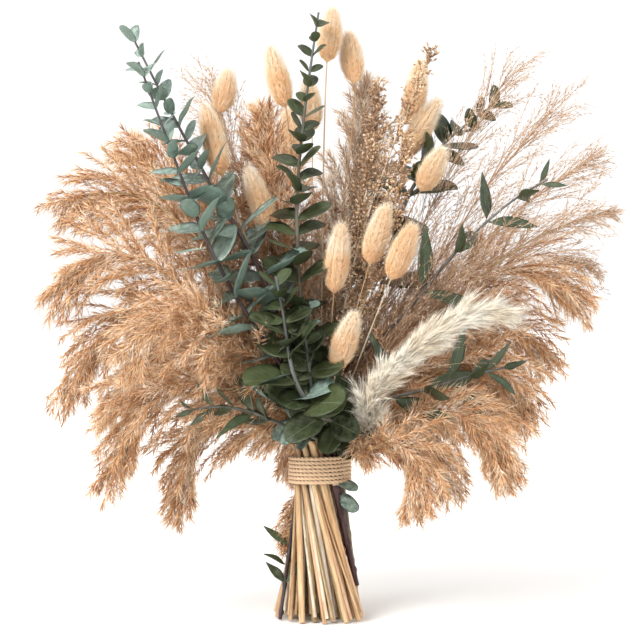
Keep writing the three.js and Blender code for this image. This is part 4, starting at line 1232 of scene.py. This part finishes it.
LEAVES = {
    "round": ROUND,
    "blue": {**ROUND, "leaf": long_leaf, "green": blue_green, "facing": 0.25},
    "narrow": dict(leaf=narrow_leaf, green=narrow_green, opening=0.95, first=0.06, facing=1.0,
        core=(1.35, 0.7), low=(0.027, 0.95), slot="narrow_leaves"),
}
for name, plant, _ in [*plants_of("round"), *plants_of("narrow")]:
    look = LEAVES["blue" if name in BLUE else plant["kind"]]
    leaves = [*leaves_of(plant, look["opening"], look["first"]), *low_leaves_of(plant, *look["low"])]
    at, aim, face, size = (np.array(v) for v in zip(*leaves))
    stem = stem_group(plant, look["core"], knots=0.45, every=0.021)
    mesh = stem_with(name, stem, at, lush=size, aim=aim, face=face + FRONT * look["facing"])
    branch = grown(name + "_branch", mesh, leafy, {
        "Stem sides": 8, "Stem material": BARKS.get(name, green_bark), "Leaf": look["leaf"],
        "Leaf material": look["green"], "Uneven": 0.16, "Seed": plant["seed"]})
    stands_for(branch, name, look["slot"])


# ---- Flower spikes ----
# Three tall dried spikes: a straw with short twigs all the way up, each with smaller twigs of its own and
# thick with small grey-brown florets and short hairs.
def side_twigs(parents, count, reach, opening, sag, steps, rng, first=0.15):
    """Smaller twigs on twigs, for a whole group of them at once."""
    total, rings = parents.shape[:2]
    place = (np.arange(count) + rng.uniform(0.2, 0.8, (total, count))) / count
    place = (first + (1.0 - first) * place) * (rings - 1.001)
    ring = place.astype(int)
    row = np.arange(total)[:, None]
    low, high = parents[row, ring], parents[row, ring + 1]
    at = (low + (high - low) * (place - ring)[..., None]).reshape(-1, 3)
    along = (high - low).reshape(-1, 3)
    along /= np.linalg.norm(along, axis=1)[:, None]
    out = np.cross(along, rng.normal(0, 1, along.shape))
    out /= np.linalg.norm(out, axis=1)[:, None]
    share = (place / (rings - 1)).ravel()
    long = reach * (1 - 0.55 * share) * rng.uniform(0.6, 1.2, len(share))
    return bent_twigs(at, along, out, opening * rng.uniform(0.7, 1.3, len(share)), long, sag, steps, rng)


floret = strand_shape("floret_shape", [(0, 0.12), (0.3, 0.5), (0.7, 0.42), (1, 0)], 5)
# Its last colour is that of the painted shade at the strands' roots.
floret_skin = strand_material("dried_florets", ("6c4a32", "a68263", "d4b490", "f2dfc6"), "c0a07e", 0.8, 0.5)
for name, plant, rng in plants_of("spike"):
    lengths = ([-0.85, 0, 0.5, 1], [1.3, 1.1, 0.8, 0.35])
    twigs = twigs_on_head(plant, 92, 0.021, (0.75, 0.5), 0.0, lengths, 4, rng, -0.85)
    fine = side_twigs(twigs, 3, 0.006, 0.7, 0.0, 2, rng, 0.3)
    groups = [stem_group(plant, (1.0, 0.4)), (twigs, 0.0003, 1.0, 0.0), (fine, 0.00018, 0.9, 0.0)]
    grass_piece(plant, name, "florets", "flower_spike", groups, 8,
        strands_of("Spikelet", floret, floret_skin, 0.0029, 0.0035, 0.0016, 1.1, 0.0),
        strands_of("Hair", hair, floret_skin, 0.0016, 0.0034, 0.0003, 1.4, 0.0))


# ---- Airy grass ----
# Fine brown grass: long arms leave a thin stem, some of them with smaller branches that carry tiny spikelets,
# so that each spray looks like mist.
# Its last colour is that of the painted shade at the strands' roots.
airy_skin = strand_material("airy_grass", ("9a7252", "c8a484", "e8d0b6", "f8ecdc"), "e4ccb0", 0.7, 0.4)
for name, plant, rng in plants_of("airy"):
    lengths = ([-0.95, -0.4, 0.5, 1], [1.4, 1, 0.7, 0.35])
    arms = twigs_on_head(plant, 72, 0.1, (0.34, 0.26), 0.07, lengths, 9, rng, -0.95)
    plain_arms = twigs_on_head(plant, 44, 0.1, (0.3, 0.26), 0.06, lengths, 7, rng, -0.95)
    forks = side_twigs(arms, 8, 0.014, 0.5, 0.04, 3, rng, 0.3)
    groups = [stem_group(plant, (0.7, 0.25)), *side_straws(plant, rng, 2),
        (arms, np.linspace(0.00032, 0.00014, 10), 0.0, 0.0),
        (plain_arms, np.linspace(0.0003, 0.0001, 8), 0.0, 0.0),
        (forks, np.linspace(0.00017, 0.0001, 4), 1.0, 0.0)]
    grass_piece(plant, name, "spray", "airy_grass", groups, 6,
        strands_of("Spikelet", spikelet, airy_skin, 0.0034, 0.0038, 0.00075, 0.5, 0.05),
        strands_of("Hair", hair, airy_skin, 0.003, 0.009, 0.0002, 0.4, 0.05))


# ---- Jute twine ----
# Seven close turns of two-ply jute bind the stems, with both ends led in under the turns. The plies twist
# round each other and shed short fibres.
PLY_TWIST, PLY_SHARE = 0.0072, 0.55                     # length of one full twist, and a ply's share in width
PLY_FROM, PLY_NEXT, PLY_WIDE = 0.02, math.pi / 6.5, 0.44               # the plies lie side by side in the map
ENDS_TURN, TUCKED = 0.35, 0.0026                        # where the ends are led in, and how far
WOUND_CLEAR, FLUFFIER = 0.3, 1.04       # millimetres off the stems, and the jute over its solid


def twine_tree():
    tree, given = new_tree("two-ply twine", {
        "Thickness": "Float", "Twist": "Float", "Jute": "Material", **strand_inputs("Fibre"), "Seed": "Int"})
    path = wire(tree, "GeometryNodeMeshToCurve", {"Mesh": given["Geometry"]})[0]
    path = wire(tree, "GeometryNodeResampleCurve", {"Curve": path, "Length": 0.0009}, mode="LENGTH")[0]
    turn = wire(tree, "GeometryNodeSplineParameter")[1] / given["Twist"] * math.tau
    along = wire(tree, "GeometryNodeInputTangent")[0]
    out = wire(tree, "GeometryNodeInputNormal")[0]
    over = along.math("CROSS_PRODUCT", out)
    plies = []
    for number in (0, 1):
        angle = turn + number * math.pi
        place = (out * angle.math("COSINE") + over * angle.math("SINE")) * (
            given["Thickness"] * ((1 - PLY_SHARE) / 2))
        ply = wire(tree, "GeometryNodeSetPosition", {"Geometry": path, "Offset": place})[0]
        ply = stored(ply, "thick", given["Thickness"] * (PLY_SHARE / 2))
        plies.append(tube(ply, 7, given["Jute"], PLY_FROM + number * PLY_NEXT, PLY_WIDE))
    return finished(*plies, twig_strands(stored(path, "lush", 1.0), given, "Fibre", given["Seed"]))


def jute_material():
    """Jute: pale and dark fibres that run along each ply."""
    material = new_material("jute", 0.9)
    tree = material.node_tree
    fine = placed(tree, FINE_LINES, Around=46.0, Along=220.0)[0]
    long_fibres = placed(tree, FINE_LINES, Around=120.0, Along=60.0)[0]
    ramp = tree.nodes.new("ShaderNodeValToRGB")
    shades = ramp.color_ramp.elements
    shades.new(0.5)
    for shade, (place, colour) in zip(shades, ((0.3, "b0865e"), (0.5, "dfbe9a"), (0.68, "f8e6cc"))):
        shade.position, shade.color = place, linear(colour)
    tree.links.new(fine.socket, ramp.inputs[0])
    colour = mixed(long_fibres, Value(tree, ramp.outputs[0]), linear("dfbd97"))
    return coat(material, colour, spread(fine, 0.3, 0.7, 0.8, 0.95), fine, (0.6, 0.0004), Sheen_Weight=0.3)


widest = BUNCH_R * math.hypot(1, SPIRAL * TWINE_TURNS * TWINE_D / 2 / TIE_Z)
WIND_R = (widest + WOUND_CLEAR + TWINE_D / 2) * MM
turns = np.linspace(-ENDS_TURN, TWINE_TURNS + 0.2, 480)
lift = np.clip(turns, 0.12, TWINE_TURNS - 0.12) - TWINE_TURNS / 2
tuck = TUCKED * (smooth(-turns, -0.05, ENDS_TURN) + smooth(turns, TWINE_TURNS - 0.2, TWINE_TURNS + 0.2))
angle = turns * math.tau + 1.1
winding = np.stack([(WIND_R - tuck) * np.cos(angle), (WIND_R - tuck) * np.sin(angle),
    (TIE_Z + lift * TWINE_D) * MM], axis=1) + AXIS
jute = jute_material()
twine_line = lines_mesh("twine_wound", [([winding], TWINE_D / 2 * MM, 1.0, 0.0)])
twine = grown("twine_wound", twine_line, twine_tree(), {
    "Thickness": TWINE_D * FLUFFIER * MM, "Twist": PLY_TWIST, "Jute": jute, "Seed": 5,
    **strands_of("Fibre", hair, jute, 0.0009, 0.0034, 0.00014, 1.6, 0.0)})
stands_for(twine, "twine", "jute_twine")


# ---- The last things ----
# The small shapes that the strands and leaves were grown from aren't pieces, so they go.
for shape in [o for o in bpy.context.scene.objects if o.name.endswith("_shape")]:
    bpy.data.objects.remove(shape)
